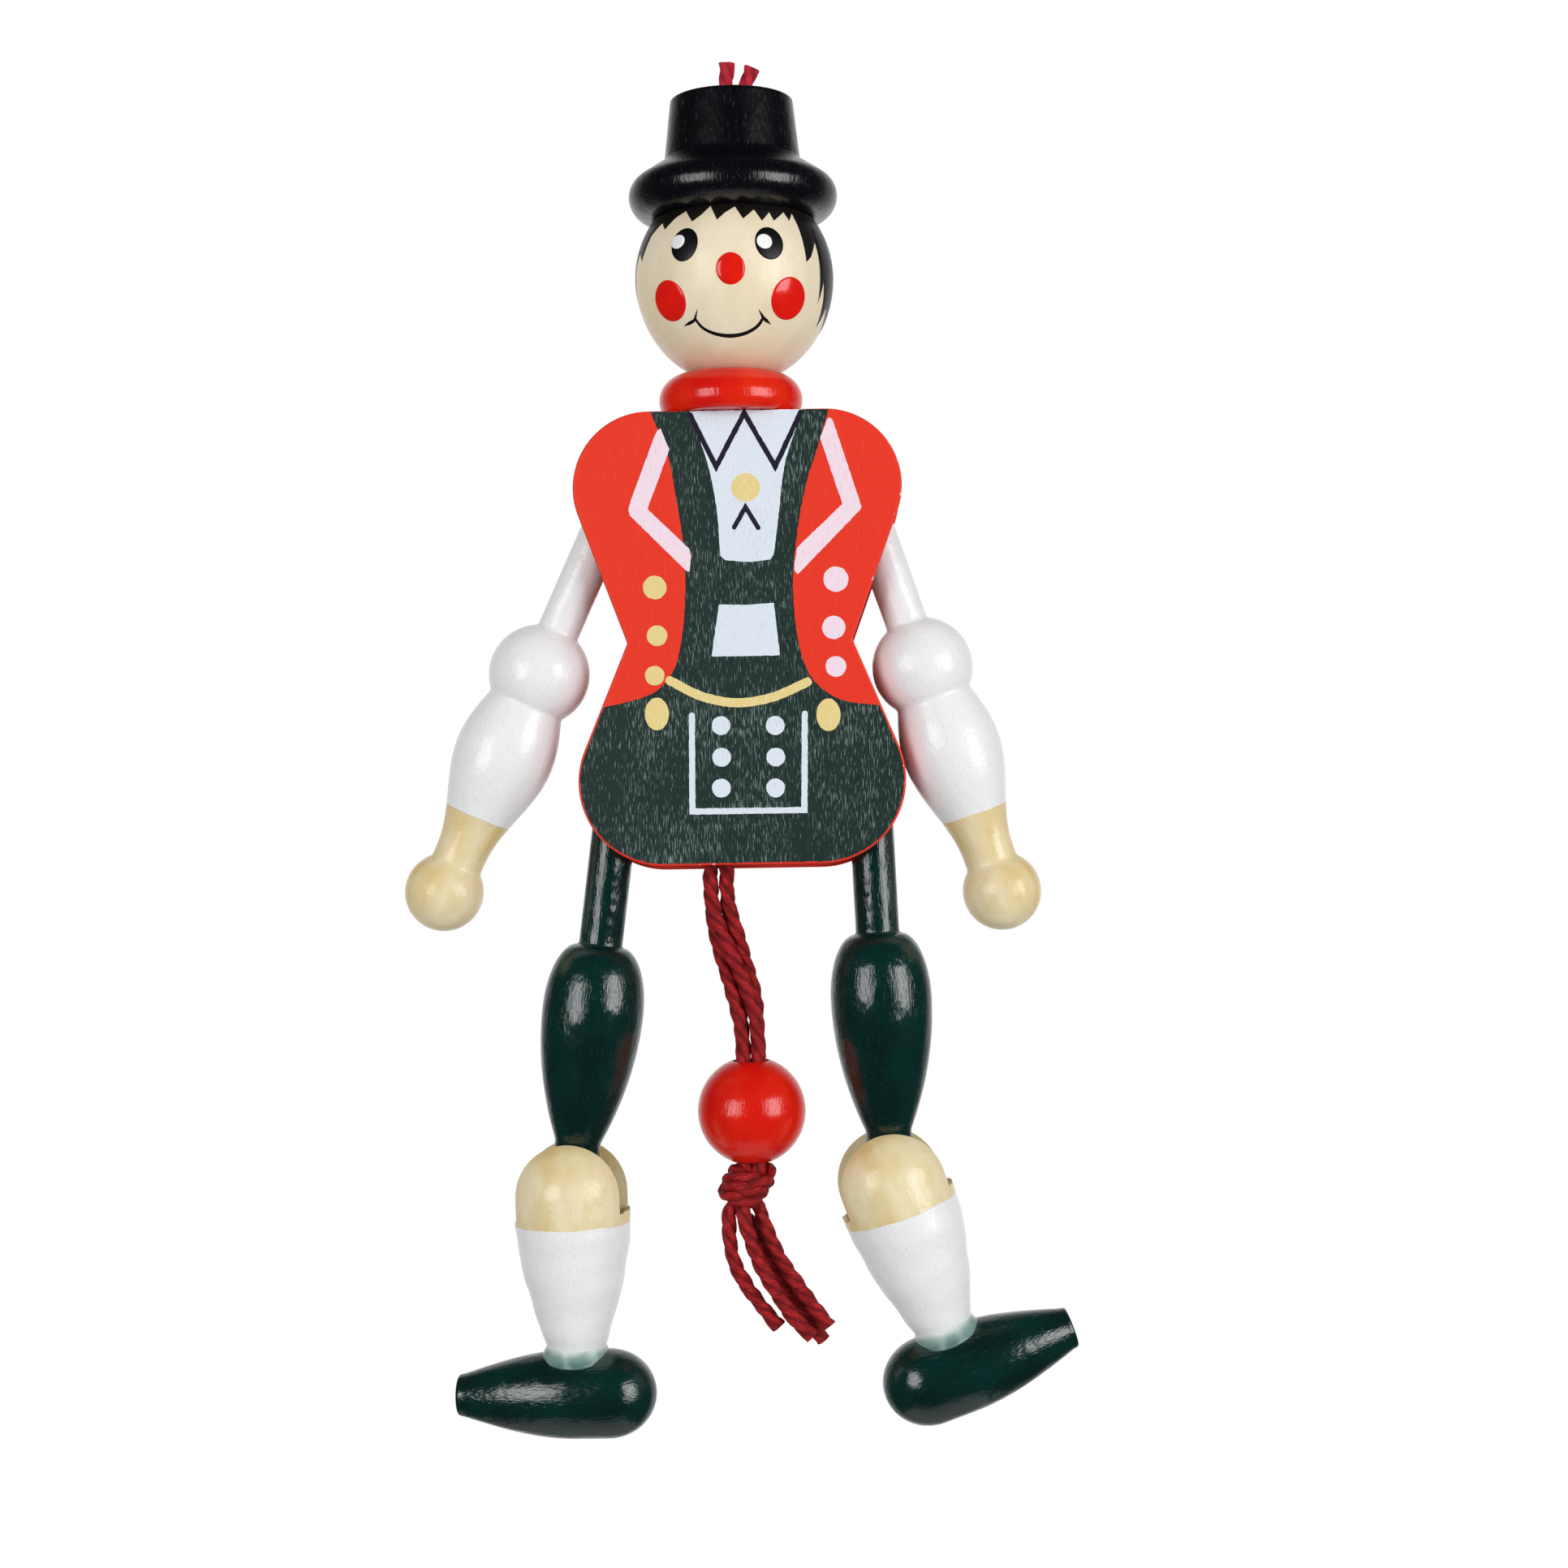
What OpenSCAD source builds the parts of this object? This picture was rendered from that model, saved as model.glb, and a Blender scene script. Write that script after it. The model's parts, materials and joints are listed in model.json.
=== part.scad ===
// Pull string jumping jack: a flat two-board body with turned limbs on pins.
// The figure faces -Y and +Z is up. The origin is the centre of the hat's top, where the cord comes out.
// Left and right are the viewer's. Lengths are in millimetres and angles in degrees.

/* [Hat] */
// Height of the crown above the brim
crown_h = 8.2; // [7:0.1:10]
// Diameter of the crown's flat top
crown_top_d = 16.5; // [14:0.1:18]
// Diameter of the crown where it meets the brim
crown_base_d = 18.4; // [16:0.1:19]
// Thickness of the brim
brim_h = 8; // [7.6:0.1:8.6]
// Diameter of the brim
brim_d = 28.2; // [27:0.2:30]

/* [Head and neck] */
// Diameter of the head
head_d = 26.7; // [25.5:0.1:27.5]
// Middle of the head to its lowest point
head_drop = 14.1; // [13.4:0.1:14.6]
// How far the head's top sits up inside the hat
head_sink = 5.4; // [5.2:0.1:6]
// Height of the neck ring
ring_h = 5.7; // [5.2:0.1:6.6]
// Diameter of the neck ring
ring_d = 19.4; // [18:0.2:21]
// Diameter of the neck ring's hole
ring_bore_d = 7.4; // [7:0.1:7.8]
// How far the loose neck ring sits to the left of the middle
ring_shift = 0.75; // [0:0.05:0.8]
// Play between the turning head and the neck ring
head_play = 0.1; // [0.05:0.01:0.2]

/* [Body boards] */
// Thickness of each board
board_t = 3; // [2.6:0.2:5]
// Height of the boards
body_h = 60.5; // [58:0.5:70]
// Width across the shoulders
shoulder_w = 43.8; // [42:0.2:48]
// Radius of the shoulder curve
shoulder_r = 10.2; // [9:0.2:12]
// Width of the waist
waist_w = 30; // [28:0.5:34]
// Waist corner below the middle of the boards' height
waist_drop = 0.55; // [-2:0.05:3]
// Width across the hips
hip_w = 43.6; // [42:0.2:48]
// Radius of the hip curve
hip_r = 11.2; // [10:0.2:13]
// How much lower the back board was glued on
back_drop = 0.8; // [0:0.1:1.5]

/* [Joints] */
// Shoulder pin from the centre line
shoulder_x = 15.4; // [14.5:0.1:16.5]
// Shoulder pin below the boards' top edge
shoulder_drop = 8.4; // [8:0.1:10]
// Hip pin from the centre line
hip_x = 17.1; // [16:0.1:18]
// Hip pin above the boards' lower edge
hip_rise = 8.6; // [7.5:0.1:11]
// How much higher the right shoulder pin and hip pin were drilled
right_pin_lift = 1.2; // [0:0.1:1.6]
// Diameter of every pin
pin_d = 1.6; // [1.2:0.1:2]
// Radial play of a limb on its pin
pin_play = 0.05; // [0.02:0.01:0.1]
// Depth of a pin's blind hole in a board
pin_seat = 2; // [1.4:0.1:2.4]
// Play of a limb's rod against each board
rod_play = 0.35; // [0.2:0.05:0.6]
// Gap that glue fills between pieces of one body
glue_gap = 0.02; // [0.01:0.01:0.05]

/* [Arms] */
// Diameter of the arm's rod
arm_rod_d = 5.7; // [5:0.1:6.2]
// Shoulder pin to the middle of the elbow ball
elbow_reach = 28.7; // [27:0.1:31]
// Diameter of the elbow ball
elbow_d = 13.6; // [12:0.2:15]
// Diameter of the neck between elbow ball and forearm
elbow_neck_d = 10.3; // [9:0.1:11]
// Shoulder pin to the widest place of the forearm
forearm_reach = 40.4; // [39:0.2:43]
// Largest diameter of the forearm
forearm_d = 13.4; // [12:0.2:13.8]
// Shoulder pin to the thinnest place of the wrist
wrist_reach = 55.4; // [54:0.2:56.4]
// Diameter of the wrist
wrist_d = 7; // [6:0.1:8]
// Shoulder pin to the middle of the hand ball
hand_reach = 60.8; // [60.4:0.1:66]
// Diameter of the hand ball
hand_d = 10.6; // [9.6:0.1:12]
// Shoulder pin to the cord hole in the arm's inner end
arm_lever = 4.2; // [4:0.1:5]
// Tilt of the left arm away from the body
left_arm_tilt = 24.6; // [20:0.2:40]
// Tilt of the right arm away from the body
right_arm_tilt = 18.6; // [18.6:0.2:40]

/* [Legs] */
// Diameter of the leg's rod
leg_rod_d = 5.9; // [5:0.1:6.4]
// Hip pin to the thigh's upper end
thigh_top_reach = 19.6; // [17:0.1:22]
// Hip pin to the widest place of the thigh
thigh_reach = 28.5; // [26:0.5:32]
// Largest diameter of the thigh
thigh_d = 13.7; // [12:0.1:15]
// Diameter of the round tongue that enters the calf's slot
tongue_d = 6.2; // [5.4:0.1:6.6]
// Hip pin to knee pin
knee_reach = 53.5; // [51:0.5:58]
// Play of the tongue against each lobe of the calf
tongue_play = 0.3; // [0.15:0.05:0.5]
// Turn of the left knee about the leg, which shows the viewer the right mouth of its slot
left_knee_turn = 5.5; // [0:0.1:12]
// Turn of the right knee about the leg, the other way
right_knee_turn = 2.7; // [0:0.1:12]
// Hip pin to the cord hole in the leg's inner end
leg_lever = 5.5; // [5:0.1:6.5]
// Tilt of the left leg away from the middle
left_leg_tilt = 7.6; // [4:0.2:20]
// Tilt of the right leg away from the middle
right_leg_tilt = 2.2; // [1:0.2:20]

/* [Calves and shoes] */
// Largest diameter of the calf
calf_d = 15.7; // [15:0.1:17]
// Knee pin to the bottom of the slot
slot_drop = 3.5; // [3.5:0.1:5]
// Knee pin to where the calf starts to taper
taper_drop = 1.6; // [1.2:0.1:6]
// Knee pin to the ankle
ankle_drop = 20.6; // [18:0.2:24]
// Diameter of the ankle
ankle_d = 7.8; // [6.6:0.1:8.6]
// Depth of the ankle's peg in the shoe
peg_l = 2.6; // [2:0.1:4]
// Knee pin to the middle line of the shoe
shoe_drop = 26.9; // [25.6:0.1:29]
// Ankle to the toe's end
toe_l = 16.4; // [14:0.2:22]
// Ankle to the heel's end
heel_l = 10.7; // [9.6:0.1:12]
// Largest diameter of the shoe
shoe_d = 11.9; // [11:0.1:14]
// Diameter of the shoe's cut toe
toe_d = 5.6; // [4.6:0.1:7]
// Turn of the left calf away from the middle, from straight down
left_calf_tilt = -1; // [-10:0.5:20]
// Turn of the right calf away from the middle, from straight down
right_calf_tilt = 19; // [8:0.5:30]

/* [Cords and bead] */
// Diameter of the cotton cord
cord_d = 2; // [1.6:0.1:2]
// Play of a cord in its hole
cord_play = 0.05; // [0.03:0.01:0.2]
// Gap between the two strands of the hanging cord
strand_gap = 0.2; // [0.1:0.05:0.6]
// How far the hanging cord lies right of the middle
hanger_shift = 0.5; // [0:0.1:0.8]
// Height of the left cut end above the hat
left_end_h = 5.2; // [2:0.1:8]
// Height of the right cut end above the hat
right_end_h = 4.6; // [2:0.1:8]
// Lean of the right cut end
right_end_lean = 16; // [0:1:25]
// Diameter of the pull bead
bead_d = 14.6; // [12:0.1:17]
// Middle of the bead below the boards' lower edge
bead_drop = 33.5; // [32:0.1:36]
// Middle of the bead to the right of the centre line
bead_x = 0.4; // [-1:0.1:1]
// Height of the pull knot
knot_h = 7.4; // [6:0.2:9]
// Width of the pull knot
knot_w = 7.4; // [6:0.2:9]

/* [Inner blocks] */
// Width of the neck block
neck_block_w = 11; // [9:0.5:12]
// Height of the neck block
neck_block_h = 16; // [12:0.5:20]
// Diameter of the waist dowels
waist_dowel_d = 4.6; // [3:0.1:5]
// Waist dowels from the centre line
waist_dowel_x = 11.4; // [11:0.1:12]

/* [Hidden] */
$fn = 64;

// Overrun of every cut past the face that it opens
cut = 1;
// Small rounding of turned ends
end_round = 0.6;
// Steps of a computed curve in an outline
curve_steps = 14;
// Sides of a free cord's tube
cord_sides = 8;

// The brim's rounding above and below its widest place, as shares of its thickness
brim_top_share = 0.375;
brim_low_share = 0.4;
// Polar angle at which the brim's upper rounding starts
brim_start = 57;
// The neck ring's rounding and its foot, as shares of its radius, and its widest place, as a share of its height
ring_round_share = 0.4;
ring_foot_share = 0.115;
ring_wide_share = 0.376;
// The calf thins towards the ankle along the first part of a quarter wave
calf_wave_share = 0.875;
// The heel's rounding as a share of its length
heel_round_share = 0.6;
// The pull knot's body as a share of its width, and its two wraps as shares of its height with their tilts
knot_body_share = 0.42;
knot_wrap_shares = [0.66, 0.36];
knot_wrap_tilts = [16, -24];

// Holes for cords, and the hanging cord's two strands
hanger_bore_r = hanger_shift + strand_gap / 2 + cord_d + cord_play;
cord_hole_d = cord_d + 4 * cord_play;
bead_bore_r = cord_d / 2 * (1 + sqrt(2)) + cord_play;
hanger_left_x = hanger_shift - (cord_d + strand_gap) / 2;
hanger_right_x = hanger_shift + (cord_d + strand_gap) / 2;

// Heights, from the hat's top down
hat_bottom_z = -(crown_h + brim_h);
head_z = hat_bottom_z + head_sink - head_d / 2;
ring_lip_r = ring_d / 2 * (1 - ring_round_share);
ring_top_z = head_z - head_drop * sqrt(1 - pow(2 * ring_lip_r / head_d, 2)) - head_play;
body_top_z = ring_top_z - ring_h;
body_bottom_z = body_top_z - body_h;
waist_z = body_top_z - body_h / 2 - waist_drop;
hanger_bottom_z = body_top_z - neck_block_h;
shoulder_z = body_top_z - shoulder_drop;
right_shoulder_z = shoulder_z + right_pin_lift;
hip_z = body_bottom_z + hip_rise;
right_hip_z = hip_z + right_pin_lift;
bead_z = body_bottom_z - bead_drop;
knot_top_z = bead_z - bead_d / 2 - glue_gap;

// The two boards stand this far apart, and the rods swing between them
board_gap = max(arm_rod_d, leg_rod_d) + 2 * rod_play;

// A stopper knot is pulled flat and sits in the widened mouth of its hole
stopper_w = 1.6 * cord_d;
stopper_l = 0.9 * cord_d;
stopper_sink = 0.4 * cord_d;
// Rod beyond its cord hole, so that the hole keeps a wall
lever_end = 1.2 * cord_d;
// An inner cord starts clear of the rod that pulls it
cord_start = 0.6 * cord_d;
// An inner cord ends short of the strand that hangs on outside
arm_cord_stop = 0.3;
leg_cord_stop = 1.1;

// Knees
tongue_straight = calf_d / 2 - end_round;
slot_w = tongue_d + 2 * tongue_play;
left_knee = [
    -hip_x - knee_reach * sin(left_leg_tilt),
    0,
    hip_z - knee_reach * cos(left_leg_tilt)
];
right_knee = [
    hip_x + knee_reach * sin(right_leg_tilt),
    0,
    right_hip_z - knee_reach * cos(right_leg_tilt)
];
// The knee pin starts in a blind hole of the front lobe and ends just under the back lobe's surface
knee_pin_front = 0.8 * calf_d / 2;
knee_pin_back = 0.97 * calf_d / 2;

// Routes of the four strands, from the boards' lower edge through the bead to the knot
left_arm_route = [
    [-4.6, -1.05, -103.2], [-4.6, -1.1, -107], [-3.7, -1.4, -111], [-2.1, -1.5, -115],
    [-0.4, -1.5, -119], [0.9, -1.3, -123], [1.4, -1.05, -127], [1.43, -1.03, -130], [1.43, -1.03, -144.5]
];
right_arm_route = [
    [-2.4, -1.05, -103.2], [-2.4, -1, -107], [-1.6, -0.7, -111], [-0.5, -0.1, -115],
    [0.6, 0.5, -119], [1.3, 0.9, -123], [1.4, 1.05, -127], [1.43, 1.03, -130], [1.43, 1.03, -144.5]
];
right_leg_route = [
    [-2.4, 1.05, -103.2], [-2.5, 1.1, -107], [-2.3, 1.4, -111], [-1.9, 1.5, -115],
    [-1.4, 1.5, -119], [-0.9, 1.3, -123], [-0.65, 1.05, -127], [-0.63, 1.03, -130], [-0.63, 1.03, -144.5]
];
left_leg_route = [
    [-4.6, 1.05, -103.2], [-4.6, 1, -107], [-4.4, 0.7, -111], [-3.5, 0.1, -115],
    [-2.4, -0.5, -119], [-1.3, -0.9, -123], [-0.7, -1.05, -127], [-0.63, -1.03, -130], [-0.63, -1.03, -144.5]
];
// Routes of the four cut tails, from inside the knot
left_arm_tail_route = [
    [-2.9, -0.6, -149.5], [-3.8, -0.6, -153], [-3.3, -0.4, -156.5], [-2, -0.2, -160],
    [0.4, 0, -163], [3.5, 0.2, -166]
];
right_arm_tail_route = [
    [-0.9, -1.2, -149.5], [-0.2, -1.2, -153.5], [1.3, -1.2, -157.5], [3.2, -1.1, -161],
    [5.6, -1, -164.6], [8, -0.9, -167.2]
];
left_leg_tail_route = [
    [0.9, 0.9, -149.2], [2.2, 0.9, -153.2], [4, 0.9, -157], [6.2, 0.9, -160.5],
    [8.6, 0.8, -163.8], [10.3, 0.7, -166.2]
];
right_leg_tail_route = [
    [-1.2, 1.6, -149.5], [0.4, 2.4, -153.5], [2.4, 2.8, -157.5], [4.6, 2.9, -161],
    [7, 2.9, -164.8], [9.6, 2.8, -168.6]
];

// Unit vector of v
function unit(v) = v / norm(v);

// Points of a ball's outline: centre at depth c, from polar angle a0 to a1, counted from the top
function ball_points(c, r, a0, a1) = [
    for (i = [0 : curve_steps])
        let (a = a0 + (a1 - a0) * i / curve_steps)
        [r * sin(a), -c + r * cos(a)]
];

// A swelling outline from radius r0 at depth s0 to r1 at s1: steep at first, level at the end
function swell_points(s0, r0, s1, r1) = [
    for (i = [0 : curve_steps])
        let (t = i / curve_steps)
        [r0 + (r1 - r0) * sin(90 * t), -(s0 + (s1 - s0) * t)]
];

// A quarter of an ellipse from r0 at s0 to r1 at s1: blunt at first, level at the end
function blunt_points(s0, r0, s1, r1) = [
    for (i = [0 : curve_steps])
        let (a = 90 * i / curve_steps)
        [r0 + (r1 - r0) * sin(a), -(s0 + (s1 - s0) * (1 - cos(a)))]
];

// A falling outline from r0 at s0 to r1 at s1: level at first, steep at the end
function fall_points(s0, r0, s1, r1) = [
    for (i = [0 : curve_steps])
        let (t = i / curve_steps)
        [r1 + (r0 - r1) * (1 - t * t), -(s0 + (s1 - s0) * t)]
];

// The head's outline, a little longer below its middle than above, grown by grow
function head_points(grow) = [
    for (i = [0 : 2 * curve_steps])
        let (
            a = 90 * i / curve_steps,
            h = (i < curve_steps ? head_d / 2 : head_drop) + grow
        )
        [(head_d / 2 + grow) * sin(a), head_z + h * cos(a)]
];

// An outline that leaves r0 level and arrives at r1 level
function ease_points(s0, r0, s1, r1) = [
    for (i = [0 : curve_steps])
        let (t = i / curve_steps)
        [r0 + (r1 - r0) * (1 - cos(180 * t)) / 2, -(s0 + (s1 - s0) * t)]
];

// The tangent point, on the side given by turn, of the line from p to the circle at c
function tangent_point(p, c, r, turn) =
    let (
        d = p - c,
        a = acos(r / norm(d)) * turn,
        u = unit(d)
    )
    c + r * [u[0] * cos(a) - u[1] * sin(a), u[0] * sin(a) + u[1] * cos(a)];

// Points on a circle from point p to angle a1
function arc_points(c, r, a0, a1) = [
    for (i = [0 : curve_steps])
        let (a = a0 + (a1 - a0) * i / curve_steps)
        c + r * [cos(a), sin(a)]
];

// Right half of the body's outline, from the top down: shoulder curve, waist corner, hip curve
function half_body() =
    let (
        sc = [shoulder_w / 2 - shoulder_r, body_top_z - shoulder_r],
        hc = [hip_w / 2 - hip_r, body_bottom_z + hip_r],
        waist = [waist_w / 2, waist_z],
        st = tangent_point(waist, sc, shoulder_r, 1) - sc,
        ht = tangent_point(waist, hc, hip_r, -1) - hc
    )
    concat(
        arc_points(sc, shoulder_r, 90, atan2(st[1], st[0])),
        [waist],
        arc_points(hc, hip_r, atan2(ht[1], ht[0]), -90)
    );

// One ring of a cord's tube, square to the direction d
function cord_ring(p, d, r) =
    let (
        across = unit(cross(d, [0, 1, 0])),
        up = cross(across, d)
    )
    [
        for (k = [0 : cord_sides - 1])
            let (a = 360 * (k + 0.5) / cord_sides)
            p + r * (across * cos(a) + up * sin(a))
    ];

// Direction of a route at its point i
function route_direction(route, i) =
    unit(route[min(i + 1, len(route) - 1)] - route[max(i - 1, 0)]);

// A tube swept along the points of a route
module cord_tube(route) {
    rings = len(route);
    points = [
        for (i = [0 : rings - 1])
            each cord_ring(route[i], route_direction(route, i), cord_d / 2)
    ];
    walls = [
        for (i = [0 : rings - 2], k = [0 : cord_sides - 1])
            let (
                a = i * cord_sides + k,
                b = i * cord_sides + (k + 1) % cord_sides,
                c = a + cord_sides,
                e = b + cord_sides
            )
            each [[a, b, e], [a, e, c]]
    ];
    last = (rings - 1) * cord_sides;
    caps = [
        for (k = [1 : cord_sides - 2])
            each [[0, k + 1, k], [last, last + k, last + k + 1]]
    ];
    polyhedron(points = points, faces = concat(walls, caps));
}

// A straight cord from point p to point q
module cord_rod(p, q) {
    d = q - p;
    translate(p)
        rotate([0, acos(d[2] / norm(d)), atan2(d[1], d[0])])
            cylinder(h = norm(d), d = cord_d);
}

// A turned piece: its outline is spun about the vertical axis
module turned(outline) {
    rotate_extrude()
        polygon(concat([[0, outline[0][1]]], outline, [[0, outline[len(outline) - 1][1]]]));
}

// A hole along Y through a limb, for its pin
module pin_hole(depth, width) {
    translate([0, 0, -depth])
        rotate([90, 0, 0])
            cylinder(h = width + 2 * cut, d = pin_d + 2 * pin_play, center = true);
}

// The cord hole across a limb's inner end, with a wider mouth for the knot on its -X side
module cord_hole(lever, rod_d) {
    translate([0, 0, lever])
        rotate([0, 90, 0])
            cylinder(h = rod_d + 2 * cut, d = cord_hole_d, center = true);
    translate([stopper_sink - rod_d / 2, 0, lever])
        rotate([0, -90, 0])
            cylinder(h = stopper_sink + cut, d = stopper_w + 2 * glue_gap);
}

// Outline of a limb's inner end: a rod with a rounded end above the pin
function rod_end(lever, rod_d) = [
    [rod_d / 2 - end_round, lever + lever_end],
    [rod_d / 2, lever + lever_end - end_round]
];

// Places a piece that hangs from a pin at x, z, tilted by angle about Y
module hung(x, z, angle) {
    translate([x, 0, z])
        rotate([0, angle, 0])
            children();
}

// Places a piece of the lower leg: the knee, drilled at a turn, bends on a thigh that is tilted by angle
module at_knee(knee, angle, turn, bend) {
    translate(knee)
        rotate([0, angle, 0])
            rotate([0, 0, turn])
                rotate([0, bend, 0])
                    children();
}

module at_left_knee() {
    at_knee(left_knee, left_leg_tilt, -left_knee_turn, left_calf_tilt - left_leg_tilt)
        children();
}

module at_right_knee() {
    at_knee(right_knee, -right_leg_tilt, right_knee_turn, right_leg_tilt - right_calf_tilt)
        children();
}

// An arm hanging straight down from its shoulder pin
module arm_shape() {
    elbow_start = asin(arm_rod_d / elbow_d);
    elbow_end = 180 - asin(elbow_neck_d / elbow_d);
    neck_s = elbow_reach - elbow_d / 2 * cos(elbow_end);
    hand_start = asin(wrist_d / hand_d);
    outline = concat(
        rod_end(arm_lever, arm_rod_d),
        ball_points(elbow_reach, elbow_d / 2, elbow_start, elbow_end),
        swell_points(neck_s, elbow_neck_d / 2, forearm_reach, forearm_d / 2),
        ease_points(forearm_reach, forearm_d / 2, wrist_reach, wrist_d / 2),
        ball_points(hand_reach, hand_d / 2, hand_start, 180)
    );
    difference() {
        turned(outline);
        pin_hole(0, arm_rod_d);
        cord_hole(arm_lever, arm_rod_d);
    }
}

// A thigh hanging straight down from its hip pin, with its round tongue for the knee, drilled at a turn
module thigh_shape(turn) {
    outline = concat(
        rod_end(leg_lever, leg_rod_d),
        blunt_points(thigh_top_reach, leg_rod_d / 2, thigh_reach, thigh_d / 2),
        fall_points(thigh_reach, thigh_d / 2, knee_reach - tongue_straight, tongue_d / 2),
        ball_points(knee_reach + tongue_play, tongue_d / 2, 90, 180)
    );
    difference() {
        turned(outline);
        pin_hole(0, leg_rod_d);
        cord_hole(leg_lever, leg_rod_d);
        rotate([0, 0, turn])
            pin_hole(knee_reach, tongue_d);
    }
}

// A calf hanging straight down from its knee pin: a round top sawn into two lobes, and a peg below.
// The round top ends just above the pin's hole
module calf_shape() {
    dome_end = acos((pin_d + end_round) / calf_d);
    outline = concat(
        ball_points(0, calf_d / 2, 0, dome_end),
        calf_taper(),
        [[ankle_d / 2, -(ankle_drop + peg_l)]]
    );
    difference() {
        turned(outline);
        translate([-calf_d / 2 - cut, -slot_w / 2, -slot_drop])
            cube([calf_d + 2 * cut, slot_w, slot_drop + calf_d / 2 + cut]);
        rotate([90, 0, 0])
            translate([0, 0, -calf_d / 2 - cut])
                cylinder(h = calf_d / 2 + cut + knee_pin_front, d = pin_d + 2 * glue_gap);
    }
}

// Outline of the calf's taper down to the ankle
function calf_taper() =
    let (drop_share = 1 - cos(90 * calf_wave_share))
    [
        for (i = [0 : curve_steps])
            let (
                t = i / curve_steps,
                fallen = (1 - cos(90 * calf_wave_share * t)) / drop_share
            )
            [
                calf_d / 2 - (calf_d - ankle_d) / 2 * fallen,
                -(taper_drop + (ankle_drop - taper_drop) * t)
            ]
    ];

// A shoe with its toe towards -X: a swelling toe and a round heel, drilled for the ankle's peg
module shoe_shape() {
    heel_round = heel_round_share * heel_l;
    full_l = toe_l + heel_l;
    outline = concat(
        [[toe_d / 2 - end_round, 0]],
        swell_points(end_round, toe_d / 2, toe_l, shoe_d / 2),
        [
            for (i = [0 : curve_steps])
                let (a = 90 * i / curve_steps)
                [shoe_d / 2 * cos(a), -(full_l - heel_round + heel_round * sin(a))]
        ]
    );
    difference() {
        translate([-toe_l, 0, -shoe_drop])
            rotate([0, -90, 0])
                turned(outline);
        translate([0, 0, -(ankle_drop + peg_l + glue_gap)])
            cylinder(h = peg_l + shoe_d, d = ankle_d + 2 * glue_gap);
    }
}

// The knot of a pull cord on its limb's -X side, with the cord's short run through the cross hole
module stopper(lever, rod_d) {
    knot = [
        for (a = [15 : 15 : 165])
            [stopper_w / 2 * pow(sin(a), 0.6), stopper_l * (1 - cos(a)) / 2]
    ];
    knot_x = -rod_d / 2 - stopper_l + stopper_sink;
    translate([knot_x, 0, lever])
        rotate([0, 90, 0]) {
            rotate_extrude()
                polygon(concat([[0, 0]], knot, [[0, stopper_l]]));
            translate([0, 0, stopper_l / 2])
                cylinder(h = rod_d / 2 + cord_start / 4 - knot_x - stopper_l / 2, d = cord_d);
        }
}

// Where an inner cord leaves its limb: side is +1 on the viewer's left, where inwards is +X
function cord_leaves(x, z, tilt, lever, rod_d, side) =
    let (out = rod_d / 2 + cord_start)
    [
        x + side * (lever * sin(tilt) + out * cos(tilt)),
        0,
        z + lever * cos(tilt) - out * sin(tilt)
    ];

// The end of an inner cord, just above the strand that hangs on outside
function cord_arrives(route, stop) = route[0] + [0, 0, stop];

// A pin across the gap between the boards, seated in both
module board_pin(x, z) {
    translate([x, 0, z])
        rotate([90, 0, 0])
            cylinder(h = board_gap + 2 * pin_seat, d = pin_d, center = true);
}

// The blind holes of all four pins, cut into the inner face of a board
module pin_seats() {
    for (p = [
        [-shoulder_x, shoulder_z], [shoulder_x, right_shoulder_z],
        [-hip_x, hip_z], [hip_x, right_hip_z]
    ])
        translate([p[0], 0, p[1]])
            rotate([90, 0, 0])
                cylinder(h = board_gap + 2 * (pin_seat + glue_gap), d = pin_d + 2 * glue_gap, center = true);
}

// The outline of the body as a board whose inner face is at y
module board(y, drop) {
    right = half_body();
    left = [for (i = [len(right) - 1 : -1 : 0]) [-right[i][0], right[i][1]]];
    translate([0, y, -drop])
        rotate([90, 0, 0])
            linear_extrude(height = board_t)
                polygon(concat(right, left));
}

module hat() {
    top_r = brim_top_share * brim_h;
    low_r = brim_low_share * brim_h;
    wide_z = hat_bottom_z + low_r;
    color([0.03, 0.03, 0.06])
        rotate_extrude()
            difference() {
                polygon(concat(
                    [
                        [hanger_bore_r, 0],
                        [crown_top_d / 2 - end_round, 0],
                        [crown_top_d / 2, -end_round],
                        [crown_base_d / 2, -crown_h]
                    ],
                    arc_points([brim_d / 2 - top_r, wide_z], top_r, brim_start, 0),
                    arc_points([brim_d / 2 - low_r, wide_z], low_r, 0, -90),
                    [[hanger_bore_r, hat_bottom_z]]
                ));
                translate([0, head_z])
                    circle(d = head_d + 2 * glue_gap);
            }
}

module head() {
    color([0.92, 0.86, 0.72])
        difference() {
            turned(head_points(0));
            translate([0, 0, head_z])
                cylinder(h = 2 * (head_drop + cut), r = hanger_bore_r, center = true);
        }
}

// The ring's top is hollowed out to the head's shape
module neck_ring() {
    foot_r = ring_foot_share * ring_d / 2;
    wide_h = ring_wide_share * ring_h;
    quarter = [for (i = [0 : curve_steps]) 90 * i / curve_steps];
    color([0.92, 0.2, 0.12])
        difference() {
            translate([-ring_shift, 0, body_top_z])
                rotate_extrude()
                    polygon(concat(
                        [[ring_bore_d / 2, 0]],
                        [for (a = quarter) [ring_d / 2 - foot_r + foot_r * sin(a), wide_h * (1 - cos(a))]],
                        [
                            for (a = quarter)
                                [ring_lip_r + (ring_d / 2 - ring_lip_r) * cos(a), wide_h + (ring_h - wide_h) * sin(a)]
                        ],
                        [[ring_bore_d / 2, ring_h]]
                    ));
            turned(head_points(head_play));
        }
}

module front_board() {
    color([0.92, 0.2, 0.12])
        difference() {
            board(-board_gap / 2, 0);
            pin_seats();
        }
}

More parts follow.
